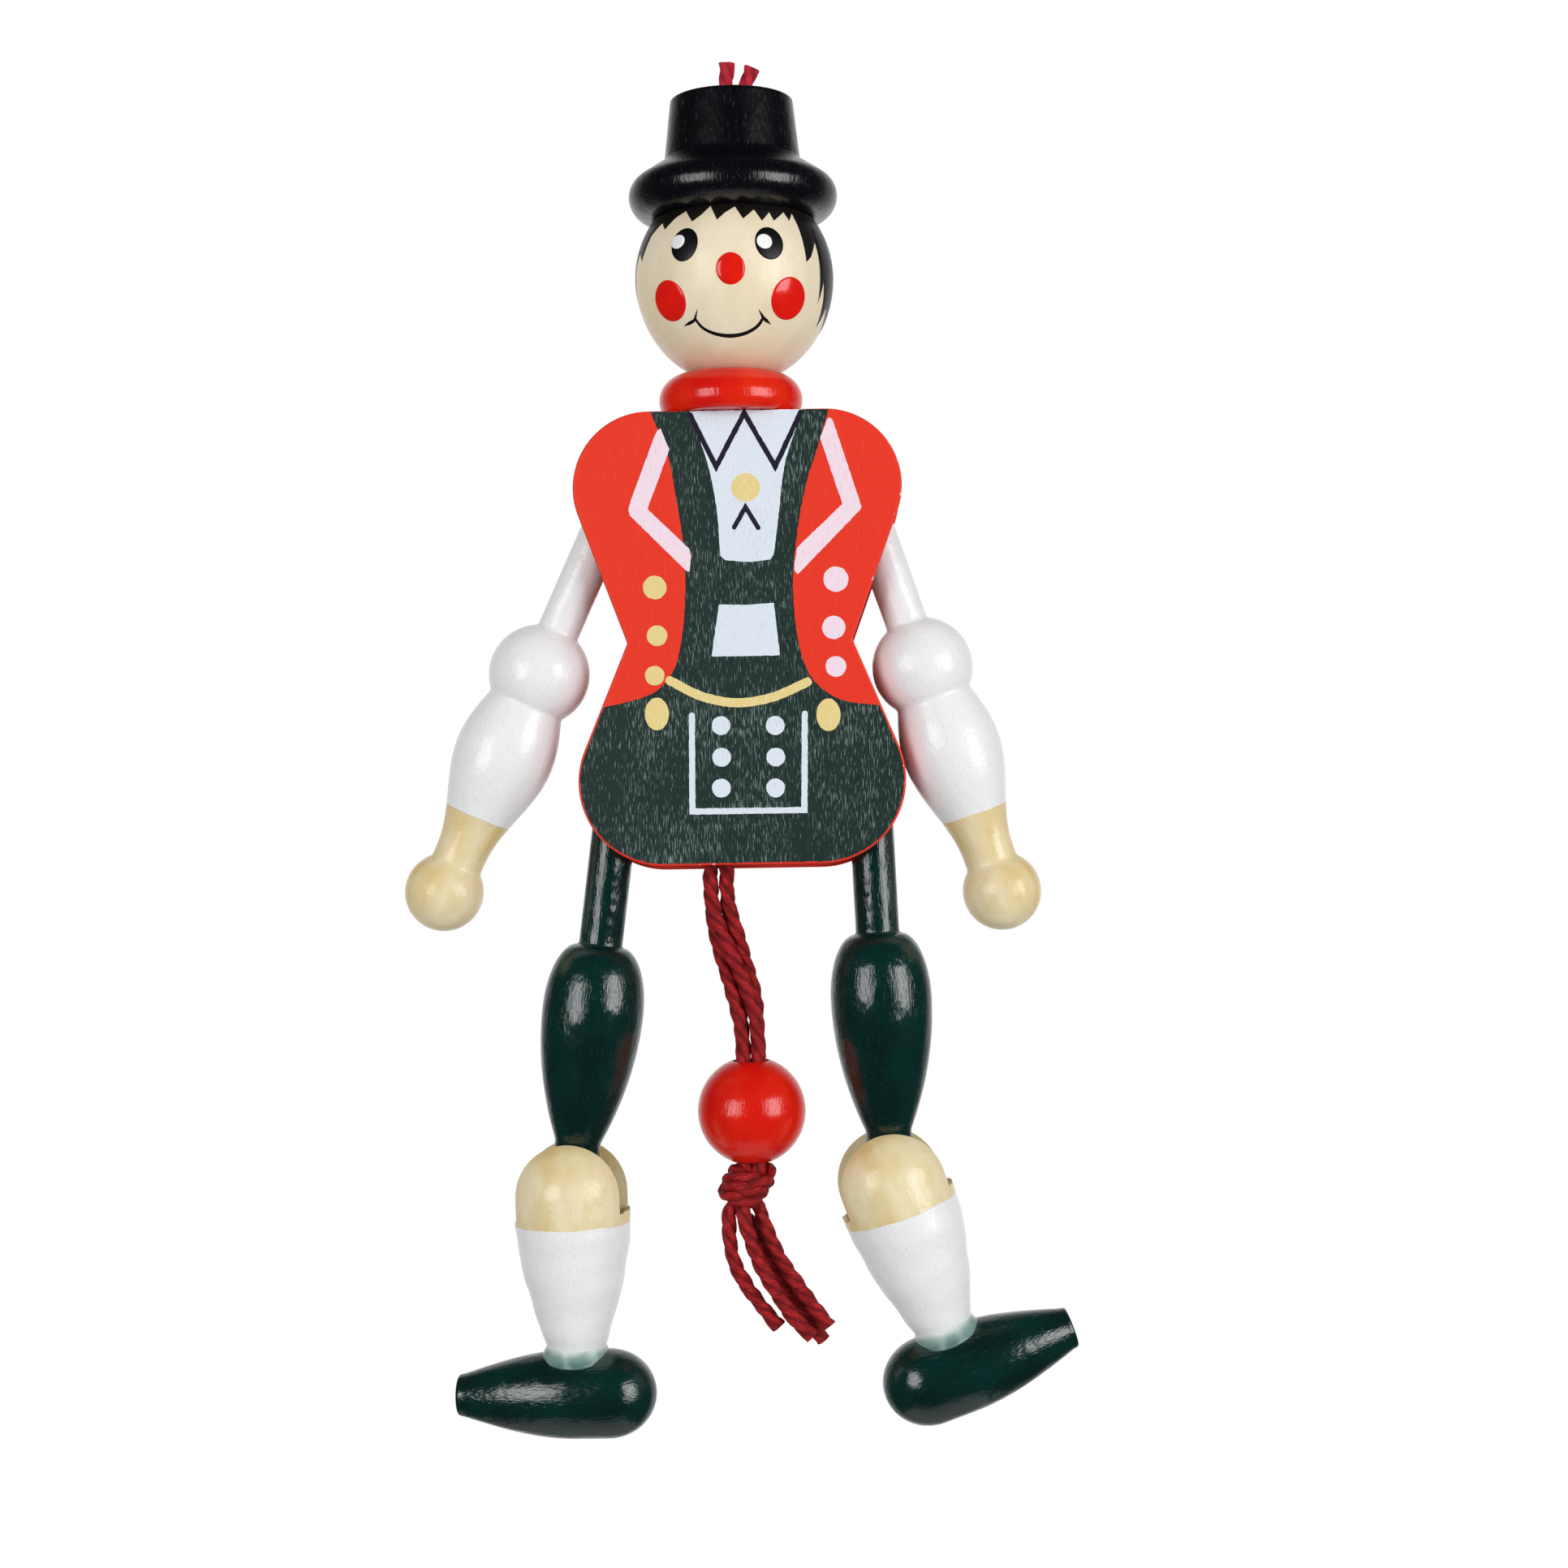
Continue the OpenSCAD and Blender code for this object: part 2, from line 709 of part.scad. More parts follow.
module back_board() {
    color([0.92, 0.2, 0.12])
        difference() {
            board(board_gap / 2 + board_t, back_drop);
            pin_seats();
        }
}

module neck_block() {
    color("burlywood")
        difference() {
            translate([-neck_block_w / 2, -board_gap / 2, hanger_bottom_z])
                cube([neck_block_w, board_gap, neck_block_h - back_drop]);
            translate([0, 0, hanger_bottom_z - cut])
                cylinder(h = neck_block_h + 2 * cut, r = hanger_bore_r);
        }
}

module waist_dowel(x) {
    color("burlywood")
        translate([x, 0, waist_z])
            rotate([90, 0, 0])
                cylinder(h = board_gap, d = waist_dowel_d, center = true);
}

module left_waist_dowel() {
    waist_dowel(-waist_dowel_x);
}

module right_waist_dowel() {
    waist_dowel(waist_dowel_x);
}

module left_shoulder_pin() {
    color("silver")
        board_pin(-shoulder_x, shoulder_z);
}

module right_shoulder_pin() {
    color("silver")
        board_pin(shoulder_x, right_shoulder_z);
}

module left_hip_pin() {
    color("silver")
        board_pin(-hip_x, hip_z);
}

module right_hip_pin() {
    color("silver")
        board_pin(hip_x, right_hip_z);
}

module left_arm() {
    color("white")
        hung(-shoulder_x, shoulder_z, left_arm_tilt)
            arm_shape();
}

module right_arm() {
    color("white")
        hung(shoulder_x, right_shoulder_z, -right_arm_tilt)
            mirror([1, 0, 0])
                arm_shape();
}

module left_thigh() {
    color([0.02, 0.2, 0.17])
        hung(-hip_x, hip_z, left_leg_tilt)
            thigh_shape(-left_knee_turn);
}

module right_thigh() {
    color([0.02, 0.2, 0.17])
        hung(hip_x, right_hip_z, -right_leg_tilt)
            mirror([1, 0, 0])
                thigh_shape(-right_knee_turn);
}

module left_calf() {
    color("white")
        at_left_knee()
            calf_shape();
}

module right_calf() {
    color("white")
        at_right_knee()
            calf_shape();
}

module left_shoe() {
    color([0.02, 0.2, 0.17])
        at_left_knee()
            shoe_shape();
}

module right_shoe() {
    color([0.02, 0.2, 0.17])
        at_right_knee()
            mirror([1, 0, 0])
                shoe_shape();
}

module knee_pin() {
    translate([0, glue_gap - knee_pin_front, 0])
        rotate([-90, 0, 0])
            cylinder(h = knee_pin_front - glue_gap + knee_pin_back, d = pin_d);
}

module left_knee_pin() {
    color("silver")
        at_left_knee()
            knee_pin();
}

module right_knee_pin() {
    color("silver")
        at_right_knee()
            knee_pin();
}

// Two strands, from the knot under the neck block to the cut ends above the hat
module hanging_cord() {
    bend = [hanger_right_x, 0, 0];
    color("crimson") {
        translate([hanger_left_x, 0, hanger_bottom_z])
            cylinder(h = left_end_h - hanger_bottom_z, d = cord_d);
        translate([hanger_right_x, 0, hanger_bottom_z])
            cylinder(h = -hanger_bottom_z, d = cord_d);
        cord_rod(bend, bend + [right_end_h * tan(right_end_lean), 0, right_end_h]);
    }
}

module hanger_knot() {
    hanger_knot_r = min(board_gap / 2 - rod_play, 1.5 * cord_d);
    color("crimson")
        translate([hanger_shift, 0, hanger_bottom_z - 2 * cord_d - glue_gap])
            rotate_extrude()
                polygon(concat(
                    [[0, 0]],
                    [
                        for (i = [1 : curve_steps - 1])
                            let (a = 180 * i / curve_steps)
                            [hanger_knot_r * pow(sin(a), 0.6), cord_d * (1 - cos(a))]
                    ],
                    [[0, 2 * cord_d]]
                ));
}

module left_arm_knot() {
    color("crimson")
        hung(-shoulder_x, shoulder_z, left_arm_tilt)
            stopper(arm_lever, arm_rod_d);
}

module right_arm_knot() {
    color("crimson")
        hung(shoulder_x, right_shoulder_z, -right_arm_tilt)
            mirror([1, 0, 0])
                stopper(arm_lever, arm_rod_d);
}

module left_leg_knot() {
    color("crimson")
        hung(-hip_x, hip_z, left_leg_tilt)
            stopper(leg_lever, leg_rod_d);
}

module right_leg_knot() {
    color("crimson")
        hung(hip_x, right_hip_z, -right_leg_tilt)
            mirror([1, 0, 0])
                stopper(leg_lever, leg_rod_d);
}

module left_arm_inner_cord() {
    color("crimson")
        cord_rod(
            cord_leaves(-shoulder_x, shoulder_z, left_arm_tilt, arm_lever, arm_rod_d, 1),
            cord_arrives(left_arm_route, arm_cord_stop)
        );
}

module right_arm_inner_cord() {
    color("crimson")
        cord_rod(
            cord_leaves(shoulder_x, right_shoulder_z, right_arm_tilt, arm_lever, arm_rod_d, -1),
            cord_arrives(right_arm_route, arm_cord_stop)
        );
}

module left_leg_inner_cord() {
    color("crimson")
        cord_rod(
            cord_leaves(-hip_x, hip_z, left_leg_tilt, leg_lever, leg_rod_d, 1),
            cord_arrives(left_leg_route, leg_cord_stop)
        );
}

module right_leg_inner_cord() {
    color("crimson")
        cord_rod(
            cord_leaves(hip_x, right_hip_z, right_leg_tilt, leg_lever, leg_rod_d, -1),
            cord_arrives(right_leg_route, leg_cord_stop)
        );
}

module left_arm_cord() {
    color("crimson")
        cord_tube(left_arm_route);
}

module right_arm_cord() {
    color("crimson")
        cord_tube(right_arm_route);
}

module left_leg_cord() {
    color("crimson")
        cord_tube(left_leg_route);
}

module right_leg_cord() {
    color("crimson")
        cord_tube(right_leg_route);
}

module pull_bead() {
    color([0.91, 0.16, 0.06])
        translate([bead_x, 0, bead_z])
            difference() {
                sphere(d = bead_d);
                cylinder(h = bead_d + 2 * cut, r = bead_bore_r, center = true);
            }
}

// A rounded lump with two wraps of cord across it
module pull_knot() {
    wrap_r = knot_w / 2 - cord_d / 2;
    color("crimson")
        translate([bead_x - cord_d / 2, 0, knot_top_z - knot_h]) {
            rotate_extrude()
                polygon(concat(
                    [[0, 0]],
                    [
                        for (i = [1 : curve_steps - 1])
                            let (a = 180 * i / curve_steps)
                            [knot_body_share * knot_w * pow(sin(a), 0.5), knot_h * (1 - cos(a)) / 2]
                    ],
                    [[0, knot_h]]
                ));
            for (i = [0, 1])
                translate([0, 0, knot_wrap_shares[i] * knot_h])
                    rotate([0, knot_wrap_tilts[i], 0])
                        rotate_extrude()
                            translate([wrap_r, 0])
                                circle(d = cord_d);
        }
}

module left_arm_tail() {
    color("crimson")
        cord_tube(left_arm_tail_route);
}

module right_arm_tail() {
    color("crimson")
        cord_tube(right_arm_tail_route);
}

module left_leg_tail() {
    color("crimson")
        cord_tube(left_leg_tail_route);
}

module right_leg_tail() {
    color("crimson")
        cord_tube(right_leg_tail_route);
}

hat();
head();
neck_ring();
front_board();
back_board();
neck_block();
left_waist_dowel();
right_waist_dowel();
left_shoulder_pin();
right_shoulder_pin();
left_hip_pin();
right_hip_pin();
left_arm();
right_arm();
left_thigh();
right_thigh();
left_calf();
right_calf();
left_shoe();
right_shoe();
left_knee_pin();
right_knee_pin();
hanging_cord();
hanger_knot();
left_arm_knot();
right_arm_knot();
left_leg_knot();
right_leg_knot();
left_arm_inner_cord();
right_arm_inner_cord();
left_leg_inner_cord();
right_leg_inner_cord();
left_arm_cord();
right_arm_cord();
left_leg_cord();
right_leg_cord();
pull_bead();
pull_knot();
left_arm_tail();
right_arm_tail();
left_leg_tail();
right_leg_tail();
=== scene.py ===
# %% [markdown]
# # A pull string jumping jack
# The toy is a flat wooden body made of two boards, with turned arms and legs that swing on pins between
# them. Four cords run from the limbs' inner ends down to one bead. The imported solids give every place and
# size; this lesson dresses them: turned surfaces with softened edges, printed costume, painted face,
# twisted cotton cord. Lengths are written in millimetres and turned to metres once, when a mesh is made.

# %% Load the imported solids
import json
import math

import bmesh
import bpy
import numpy as np
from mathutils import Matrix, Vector

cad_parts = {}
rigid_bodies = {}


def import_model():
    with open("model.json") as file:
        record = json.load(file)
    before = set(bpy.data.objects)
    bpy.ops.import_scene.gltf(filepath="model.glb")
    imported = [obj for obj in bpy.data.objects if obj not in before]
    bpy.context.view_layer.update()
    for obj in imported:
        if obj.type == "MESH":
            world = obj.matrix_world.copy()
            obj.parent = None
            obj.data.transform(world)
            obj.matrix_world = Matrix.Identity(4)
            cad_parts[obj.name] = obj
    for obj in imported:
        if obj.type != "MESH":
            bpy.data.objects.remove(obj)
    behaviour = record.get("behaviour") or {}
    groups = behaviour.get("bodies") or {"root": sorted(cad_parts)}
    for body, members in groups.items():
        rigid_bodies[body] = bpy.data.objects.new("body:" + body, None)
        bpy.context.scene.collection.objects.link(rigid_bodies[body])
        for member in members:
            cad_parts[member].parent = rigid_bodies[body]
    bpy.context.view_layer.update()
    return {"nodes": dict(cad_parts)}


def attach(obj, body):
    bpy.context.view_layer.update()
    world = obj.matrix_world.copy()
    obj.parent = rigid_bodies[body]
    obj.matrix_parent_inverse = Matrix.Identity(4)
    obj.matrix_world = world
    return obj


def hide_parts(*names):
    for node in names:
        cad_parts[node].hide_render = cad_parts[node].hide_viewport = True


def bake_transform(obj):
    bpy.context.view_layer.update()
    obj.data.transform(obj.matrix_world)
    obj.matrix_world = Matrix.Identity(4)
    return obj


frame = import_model()
MM = 0.001

# %% [markdown]
# ## Camera
# The photograph is square and was taken from straight ahead, about a third of a metre away, so the limbs'
# balls show a little perspective. The figure leans one degree in it, and the camera is rolled to match.

# %% Camera
IMAGE_PX = 1932
LENS_PX = 3050.0
CAMERA_MM = (5.53, -335.3, -92.5)
LEAN_DEG = 1.0
camera_data = bpy.data.cameras.new("camera")
camera_data.sensor_width = 36.0
camera_data.lens = LENS_PX / IMAGE_PX * camera_data.sensor_width
camera = bpy.data.objects.new("camera", camera_data)
camera.location = tuple(v * MM for v in CAMERA_MM)
camera.rotation_euler = (math.radians(90), math.radians(LEAN_DEG), 0)
bpy.context.scene.collection.objects.link(camera)
bpy.context.scene.camera = camera
print("lens in mm:", round(camera_data.lens, 2))

# %% [markdown]
# ## Small helpers for materials
# Colours are written as sRGB hex codes, but a shader counts in linear light, so one function converts them.
# The others add a node, set it and link it, which keeps every material short enough to read.

# %% Colour and node helpers
def linear(code):
    """sRGB hex code to linear light: c / 12.92 for small c, otherwise ((c + 0.055) / 1.055)^2.4."""
    c = np.array([int(code[i:i + 2], 16) for i in (1, 3, 5)]) / 255
    light = np.where(c <= 0.04045, c / 12.92, ((c + 0.055) / 1.055) ** 2.4)
    return (*light.tolist(), 1.0)


def add(tree, kind, sockets=None, **settings):
    """Adds a node: settings are its own properties, sockets are values or links by socket name or number."""
    made = tree.nodes.new(kind)
    for key, value in settings.items():
        setattr(made, key, value)
    for key, value in (sockets or {}).items():
        if isinstance(value, bpy.types.NodeSocket):
            tree.links.new(value, made.inputs[key])
        else:
            made.inputs[key].default_value = value
    return made


def new_material(name, **sockets):
    """A material with one Principled shader, whose sockets are given by name with _ for a space."""
    material = bpy.data.materials.new(name)
    material.use_nodes = True
    tree = material.node_tree
    shader = tree.nodes["Principled BSDF"]
    for key, value in sockets.items():
        shader.inputs[key.replace("_", " ")].default_value = value
    return material, tree, shader


def stored(tree, name, output="Fac"):
    """What the mesh attribute of this name holds at a point."""
    return add(tree, "ShaderNodeAttribute", attribute_name=name).outputs[output]


def combine(tree, operation, a, b):
    """a and b added, multiplied or compared."""
    return add(tree, "ShaderNodeMath", {0: a, 1: b}, operation=operation).outputs[0]


def stretch(tree, value, low, high, to_low=0.0, to_high=1.0):
    """value from low..high to to_low..to_high, held at the ends."""
    return add(tree, "ShaderNodeMapRange", {0: value, 1: low, 2: high, 3: to_low, 4: to_high}).outputs[0]


def mix_colour(tree, share, a, b):
    """Colour a at share 0 and b at share 1; a and b are hex codes, linear colours or links."""
    node = add(tree, "ShaderNodeMix", {0: share}, data_type="RGBA")
    for socket, value in ((node.inputs[6], a), (node.inputs[7], b)):
        if isinstance(value, bpy.types.NodeSocket):
            tree.links.new(value, socket)
        else:
            socket.default_value = linear(value) if isinstance(value, str) else value
    return node.outputs[2]


def paint(tree, shader, share, a, b):
    """The shader's base colour goes from a at share 0 to b at share 1."""
    tree.links.new(mix_colour(tree, share, a, b), shader.inputs["Base Color"])


def bump(tree, shader, height, depth, under=None):
    """Adds a bump of the given depth in mm to the shader, over the bump under."""
    sockets = {"Height": height, "Distance": depth * MM, "Strength": 1.0}
    if under is not None:
        sockets["Normal"] = under
    normal = add(tree, "ShaderNodeBump", sockets).outputs[0]
    tree.links.new(normal, shader.inputs["Normal"])
    return normal


print("red board paint in linear light:", [round(v, 3) for v in linear("#E83119")[:3]])

# %% [markdown]
# ## Patterns that stay with the wood
# A tilted arm was turned on a lathe before it was hung, so its grain runs along the arm and not along the
# world's axes. Each piece therefore keeps an attribute called made: where every point was, in millimetres,
# while the piece was still upright. All grain is read from it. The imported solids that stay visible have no
# such attribute, so their materials read the solid's own coordinates instead.

# %% Grain and lumps
def noise_on_wood(tree, size, detail=2.0, seed=0.0, solid=False):
    """Noise with lumps of the given size (across, across, along) in mm, read from the made attribute in mm, or
    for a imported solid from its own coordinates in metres."""
    if solid:
        place, unit = add(tree, "ShaderNodeTexCoord").outputs["Object"], MM
    else:
        place, unit = stored(tree, "made", "Vector"), 1.0
    scaled = add(tree, "ShaderNodeMapping", {
        "Vector": place,
        "Location": (seed, seed * 0.7, seed * 1.3),
        "Scale": tuple(1 / (s * unit) for s in size),
    })
    sockets = {"Vector": scaled.outputs[0], "Scale": 1.0, "Detail": detail}
    return add(tree, "ShaderNodeTexNoise", sockets).outputs["Fac"]


def lacquered(name, colour, worn, roughness, grain_depth, lump_depth, wear, cloudy=None, gloss=0.5):
    """Brushed or dipped lacquer on turned wood: fine raised grain along the piece and soft lumps of paint.
    wear is how much of the worn colour shows along the grain; cloudy is the colour where the coat is thinner;
    gloss is how strongly the surface mirrors, 0.5 for plain lacquer."""
    material, tree, shader = new_material(name, Roughness=roughness, IOR=1.5, Specular_IOR_Level=gloss)
    grain = noise_on_wood(tree, (0.16, 0.16, 3.2), 3.0)
    streaks = noise_on_wood(tree, (0.3, 0.3, 1.3), 2.0, 6.0)
    lumps = noise_on_wood(tree, (1.9, 1.9, 2.6), 1.0, 4.0)
    share = stretch(tree, grain, 0.62, 0.74, 0.0, wear)
    clouds = stretch(tree, noise_on_wood(tree, (5.0, 5.0, 8.0), 1.0, 12.0), 0.4, 0.65)
    paint(tree, shader, share, mix_colour(tree, clouds, colour, cloudy or colour), worn)
    under = bump(tree, shader, grain, grain_depth)
    under = bump(tree, shader, streaks, grain_depth * 1.6, under)
    bump(tree, shader, lumps, lump_depth, under)
    return material


# Near-black lacquer on the hat: deep and glossy, with faint grey streaks of grain on the crown
hat_lacquer = lacquered("black_gloss_lacquer", "#05040A", "#4A4C52", 0.2, 0.026, 0.06, 0.6, gloss=0.6)
# Bottle green lacquer on thighs and shoes: almost black in shade, clearly green where light falls
green_lacquer = lacquered(
    "bottle_green_gloss_lacquer", "#032A26", "#2E5A50", 0.12, 0.028, 0.1, 0.35, "#04201D", 0.75,
)
# Signal red lacquer on the neck ring and the pull bead: even, with small soft highlights
red_lacquer = lacquered("red_gloss_lacquer", "#D8140A", "#EE4A2C", 0.16, 0.02, 0.04, 0.3, "#E4260C")
# Bare sawn wood inside the body: dull, with darker grain and rough to the touch
bare_wood, tree, shader = new_material("bare_sawn_wood", Roughness=0.65, IOR=1.5)
grain = noise_on_wood(tree, (0.3, 0.3, 3.2), 3.0, solid=True)
paint(tree, shader, stretch(tree, grain, 0.45, 0.7), "#D3B386", "#A98556")
bump(tree, shader, grain, 0.04)
print("materials:", len(bpy.data.materials))

# %% [markdown]
# ## White limbs with bare ends
# Arms were dipped in white lacquer up to the wrist, calves from below the knee, and clear lacquer covers
# the rest. One material does both: an attribute called bare says how far past the paint line a point is,
# and a little noise makes the line as uneven as a dipped edge.

# %% Half-dipped limb and clear-lacquered head
def clear_wood(tree, pale, warm):
    """Colour and height of clear-lacquered wood: fine darker pores on a ground clouded from pale to warm."""
    pores = noise_on_wood(tree, (0.14, 0.14, 2.4), 3.0, 1.0)
    cloud = noise_on_wood(tree, (5.0, 5.0, 11.0), 2.0, 7.0)
    ground = mix_colour(tree, stretch(tree, cloud, 0.38, 0.66), pale, warm)
    return mix_colour(tree, stretch(tree, pores, 0.58, 0.74, 0.0, 0.34), ground, "#C6A26C"), pores


dipped, tree, shader = new_material("white_lacquer_over_clear_wood", Roughness=0.26, IOR=1.5)
wood_colour, pores = clear_wood(tree, "#EDDFB8", "#DDC386")
brush = noise_on_wood(tree, (0.17, 0.17, 4.0), 3.0, 2.0)
white = mix_colour(tree, stretch(tree, brush, 0.58, 0.72, 0.0, 0.42), "#EEEFF1", "#C9C7C6")
wobble = stretch(tree, noise_on_wood(tree, (2.0, 2.0, 2.0), 2.0, 5.0), 0.0, 1.0, -0.2, 0.2)
past = stretch(tree, combine(tree, "ADD", stored(tree, "bare"), wobble), -0.06, 0.06)
paint(tree, shader, past, white, wood_colour)
under = bump(tree, shader, brush, 0.012)
under = bump(tree, shader, noise_on_wood(tree, (2.0, 2.0, 2.6), 3.0, 9.0), 0.16, under)
under = bump(tree, shader, noise_on_wood(tree, (0.32, 0.32, 0.42), 1.0, 14.0), 0.022, under)
bump(tree, shader, stretch(tree, past, 0.0, 1.0, 1.0, 0.0), 0.05, under)

head_wood, tree, shader = new_material("clear_lacquered_beech", Roughness=0.34, IOR=1.5)
wood_colour, pores = clear_wood(tree, "#F1E4C9", "#EAD9B6")
tree.links.new(wood_colour, shader.inputs["Base Color"])
under = bump(tree, shader, pores, 0.01)
under = bump(tree, shader, noise_on_wood(tree, (0.34, 0.34, 0.34), 1.0, 14.0), 0.02, under)
bump(tree, shader, noise_on_wood(tree, (2.4, 2.4, 2.4), 1.0, 3.0), 0.06, under)
print("limb and head finishes ready")

# %% [markdown]
# ## Printing inks
# The costume was screen printed straight on the red board. The open grain stays unprinted as short upright
# flecks, strongest in the dark green. Ink dots on the face are thick gloss paint from a dabbing tool.

# %% Inks and gloss dots
def ink(name, colour, fleck, amount, roughness=0.4):
    """Screen print: a flat colour broken by upright flecks of grain, 0.15 mm wide and about 2 mm tall."""
    material, tree, shader = new_material(name, Roughness=roughness, IOR=1.5)
    flecks = noise_on_wood(tree, (0.14, 1.0, 1.4), 2.0, 2.0)
    patch = noise_on_wood(tree, (5.0, 1.0, 9.0), 2.0, 6.0)
    gate = combine(tree, "ADD", flecks, stretch(tree, patch, 0.3, 0.7, -0.055, 0.055))
    paint(tree, shader, stretch(tree, gate, 0.57, 0.68, 0.0, amount), colour, fleck)
    bump(tree, shader, flecks, 0.012)
    return material


def dot_paint(name, colour, roughness=0.14, gloss=0.5):
    """Thick gloss enamel: one colour, very smooth, with a soft swell in its surface."""
    material, tree, shader = new_material(name, Roughness=roughness, IOR=1.5, Specular_IOR_Level=gloss)
    tone = noise_on_wood(tree, (3.0, 3.0, 3.0), 1.0, 8.0)
    deep = tuple(v * 0.86 for v in linear(colour)[:3]) + (1.0,)
    paint(tree, shader, stretch(tree, tone, 0.35, 0.65), colour, deep)
    bump(tree, shader, tone, 0.02)
    return material


green_ink = ink("green_screen_ink", "#142D29", "#93A59D", 0.62)
white_ink = ink("white_screen_ink", "#DDE6F0", "#C7CFDC", 0.7)
pink_ink = ink("thin_white_ink_over_red", "#F2DCE8", "#EDB9C4", 0.6)
navy_ink = ink("navy_screen_ink", "#130C2A", "#2E2845", 0.3)
gold_ink = ink("gold_screen_ink", "#E6D08A", "#F3E7B8", 0.7, 0.35)
red_dot = dot_paint("red_gloss_enamel", "#EA1A0E")
black_dot = dot_paint("black_gloss_enamel", "#0B090E", 0.36, 0.25)
white_dot = dot_paint("white_gloss_enamel", "#FAFAFA", 0.5)
hair_ink = lacquered("black_hair_ink", "#15110F", "#4A4440", 0.35, 0.01, 0.0, 0.25)
print("inks ready")

# %% [markdown]
# ## Twisted cotton
# Cotton cord takes light softly: nearly no gloss. The plies are real shape, and shade is painted into the
# colour between them as well: the attribute called valley_shade darkens the colour in the valleys.

# %% Cotton, steel and glue
def dyed_cotton(name, low, high, worn, deep):
    """Twisted cotton: fibres from low to high along the plies, patches of worn, and painted shade deep between
    the plies.
    """
    material, tree, shader = new_material(name, Roughness=0.6, IOR=1.5, Specular_IOR_Level=0.2)
    fibre = noise_on_wood(tree, (0.17, 0.17, 0.9), 3.0)
    patches = noise_on_wood(tree, (1.1, 1.1, 2.6), 2.0, 3.0)
    tone = mix_colour(tree, stretch(tree, fibre, 0.38, 0.66), low, high)
    tone = mix_colour(tree, stretch(tree, patches, 0.42, 0.66, 0.0, 0.6), tone, worn)
    # Painted shade: the colour goes towards deep the further a point lies down between the plies
    paint(tree, shader, stretch(tree, stored(tree, "valley_shade"), 0.0, 1.0, 0.0, 0.7), tone, deep)
    bump(tree, shader, fibre, 0.16)
    return material


# The pull cords are grimy with handling; the hanging cord's ends have kept their fresh colour
# The last colour of each is painted shade for the valleys between the plies
cotton = dyed_cotton("twisted_crimson_cotton", "#860A10", "#CC2A30", "#6E080B", "#4C0405")
fresh_cotton = dyed_cotton("fresh_crimson_cotton", "#B41428", "#DE3C50", "#BE1A30", "#7C0C18")

steel, tree, shader = new_material("bright_steel_nail", Metallic=1.0, Base_Color=linear("#B4B4B2"))
scratch = noise_on_wood(tree, (0.08, 0.5, 0.08), 2.0, solid=True)
tree.links.new(stretch(tree, scratch, 0.3, 0.7, 0.25, 0.45), shader.inputs["Roughness"])

# Dried glue is a thin film: whitish against the calf, and where it thins out the dark shoe shows through
glue, tree, shader = new_material("dried_white_glue", Roughness=0.28, IOR=1.47)
tone = noise_on_wood(tree, (4.0, 4.0, 3.0), 1.0, 1.0)
film = combine(tree, "ADD", stored(tree, "bare"), stretch(tree, tone, 0.3, 0.7, -0.2, 0.2))
whitish = mix_colour(tree, stretch(tree, film, 0.05, 0.5), "#D6DBD8", "#86A19A")
paint(tree, shader, stretch(tree, film, 0.5, 1.1), whitish, "#567A73")
bump(tree, shader, tone, 0.06)
print("cotton, steel and glue ready")

# %% [markdown]
# ## From a grid of numbers to a mesh
# Every new piece is a grid of points: one direction runs along a profile or path, the other goes round.
# The grid's four-point cells become faces, doubled points at poles are welded, and a saw or drill cut is
# made with a boolean while the piece is still upright. Only then is it tilted and hung in its place.

# %% Grid, boolean and piece helpers
def grid_faces(rows, columns, close_rows=False, close_columns=True):
    """Faces between neighbouring points of a rows x columns grid, as an array of four point numbers."""
    number = np.arange(rows * columns).reshape(rows, columns)
    a = number if close_rows else number[:-1]
    b = np.roll(number, -1, 0) if close_rows else number[1:]
    if not close_columns:
        return np.stack([a[:, :-1], b[:, :-1], b[:, 1:], a[:, 1:]], -1).reshape(-1, 4)
    return np.stack([a, b, np.roll(b, -1, 1), np.roll(a, -1, 1)], -1).reshape(-1, 4)


def tube_faces(rows, columns):
    """Faces of a tube of rows rings, with one big face over each end."""
    number = range(rows * columns)
    return [*map(tuple, grid_faces(rows, columns)), tuple(number[:columns]), tuple(number[-columns:][::-1])]


def together(*parts):
    """Numbers and arrays brought to one shape and put side by side: x, y and z become points."""
    return np.stack(np.broadcast_arrays(*parts), -1)


def make_mesh(name, points, faces, weld=True, halve=False):
    """A mesh with outward faces, in millimetres. weld joins doubled points; halve cuts faces of more than four
    corners into triangles."""
    mesh = bpy.data.meshes.new(name)
    mesh.from_pydata(np.asarray(points).reshape(-1, 3).tolist(), [], [list(map(int, f)) for f in faces])
    work = bmesh.new()
    work.from_mesh(mesh)
    if weld:
        bmesh.ops.remove_doubles(work, verts=work.verts, dist=1e-4)
    bmesh.ops.recalc_face_normals(work, faces=work.faces)
    if halve:
        bmesh.ops.triangulate(work, faces=[f for f in work.faces if len(f.verts) > 4], ngon_method="EAR_CLIP")
    work.to_mesh(mesh)
    work.free()
    return mesh


def cut_away(mesh, cutters):
    """mesh minus the cutter meshes."""
    scene = bpy.context.scene.collection.objects
    whole = bpy.data.objects.new("whole", mesh)
    scene.link(whole)
    helpers = []
    for cutter in cutters:
        helper = bpy.data.objects.new("cutter", cutter)
        scene.link(helper)
        helpers.append(helper)
        cut = whole.modifiers.new("cut", "BOOLEAN")
        cut.operation, cut.solver, cut.object = "DIFFERENCE", "EXACT", helper
    shape = whole.evaluated_get(bpy.context.evaluated_depsgraph_get())
    result = bpy.data.meshes.new_from_object(shape)
    for helper in helpers + [whole]:
        bpy.data.objects.remove(helper)
    return result


def coordinates(mesh):
    """All points of a mesh as an array."""
    points = np.empty(len(mesh.vertices) * 3, np.float32)
    mesh.vertices.foreach_get("co", points)
    return points.reshape(-1, 3).astype(float)


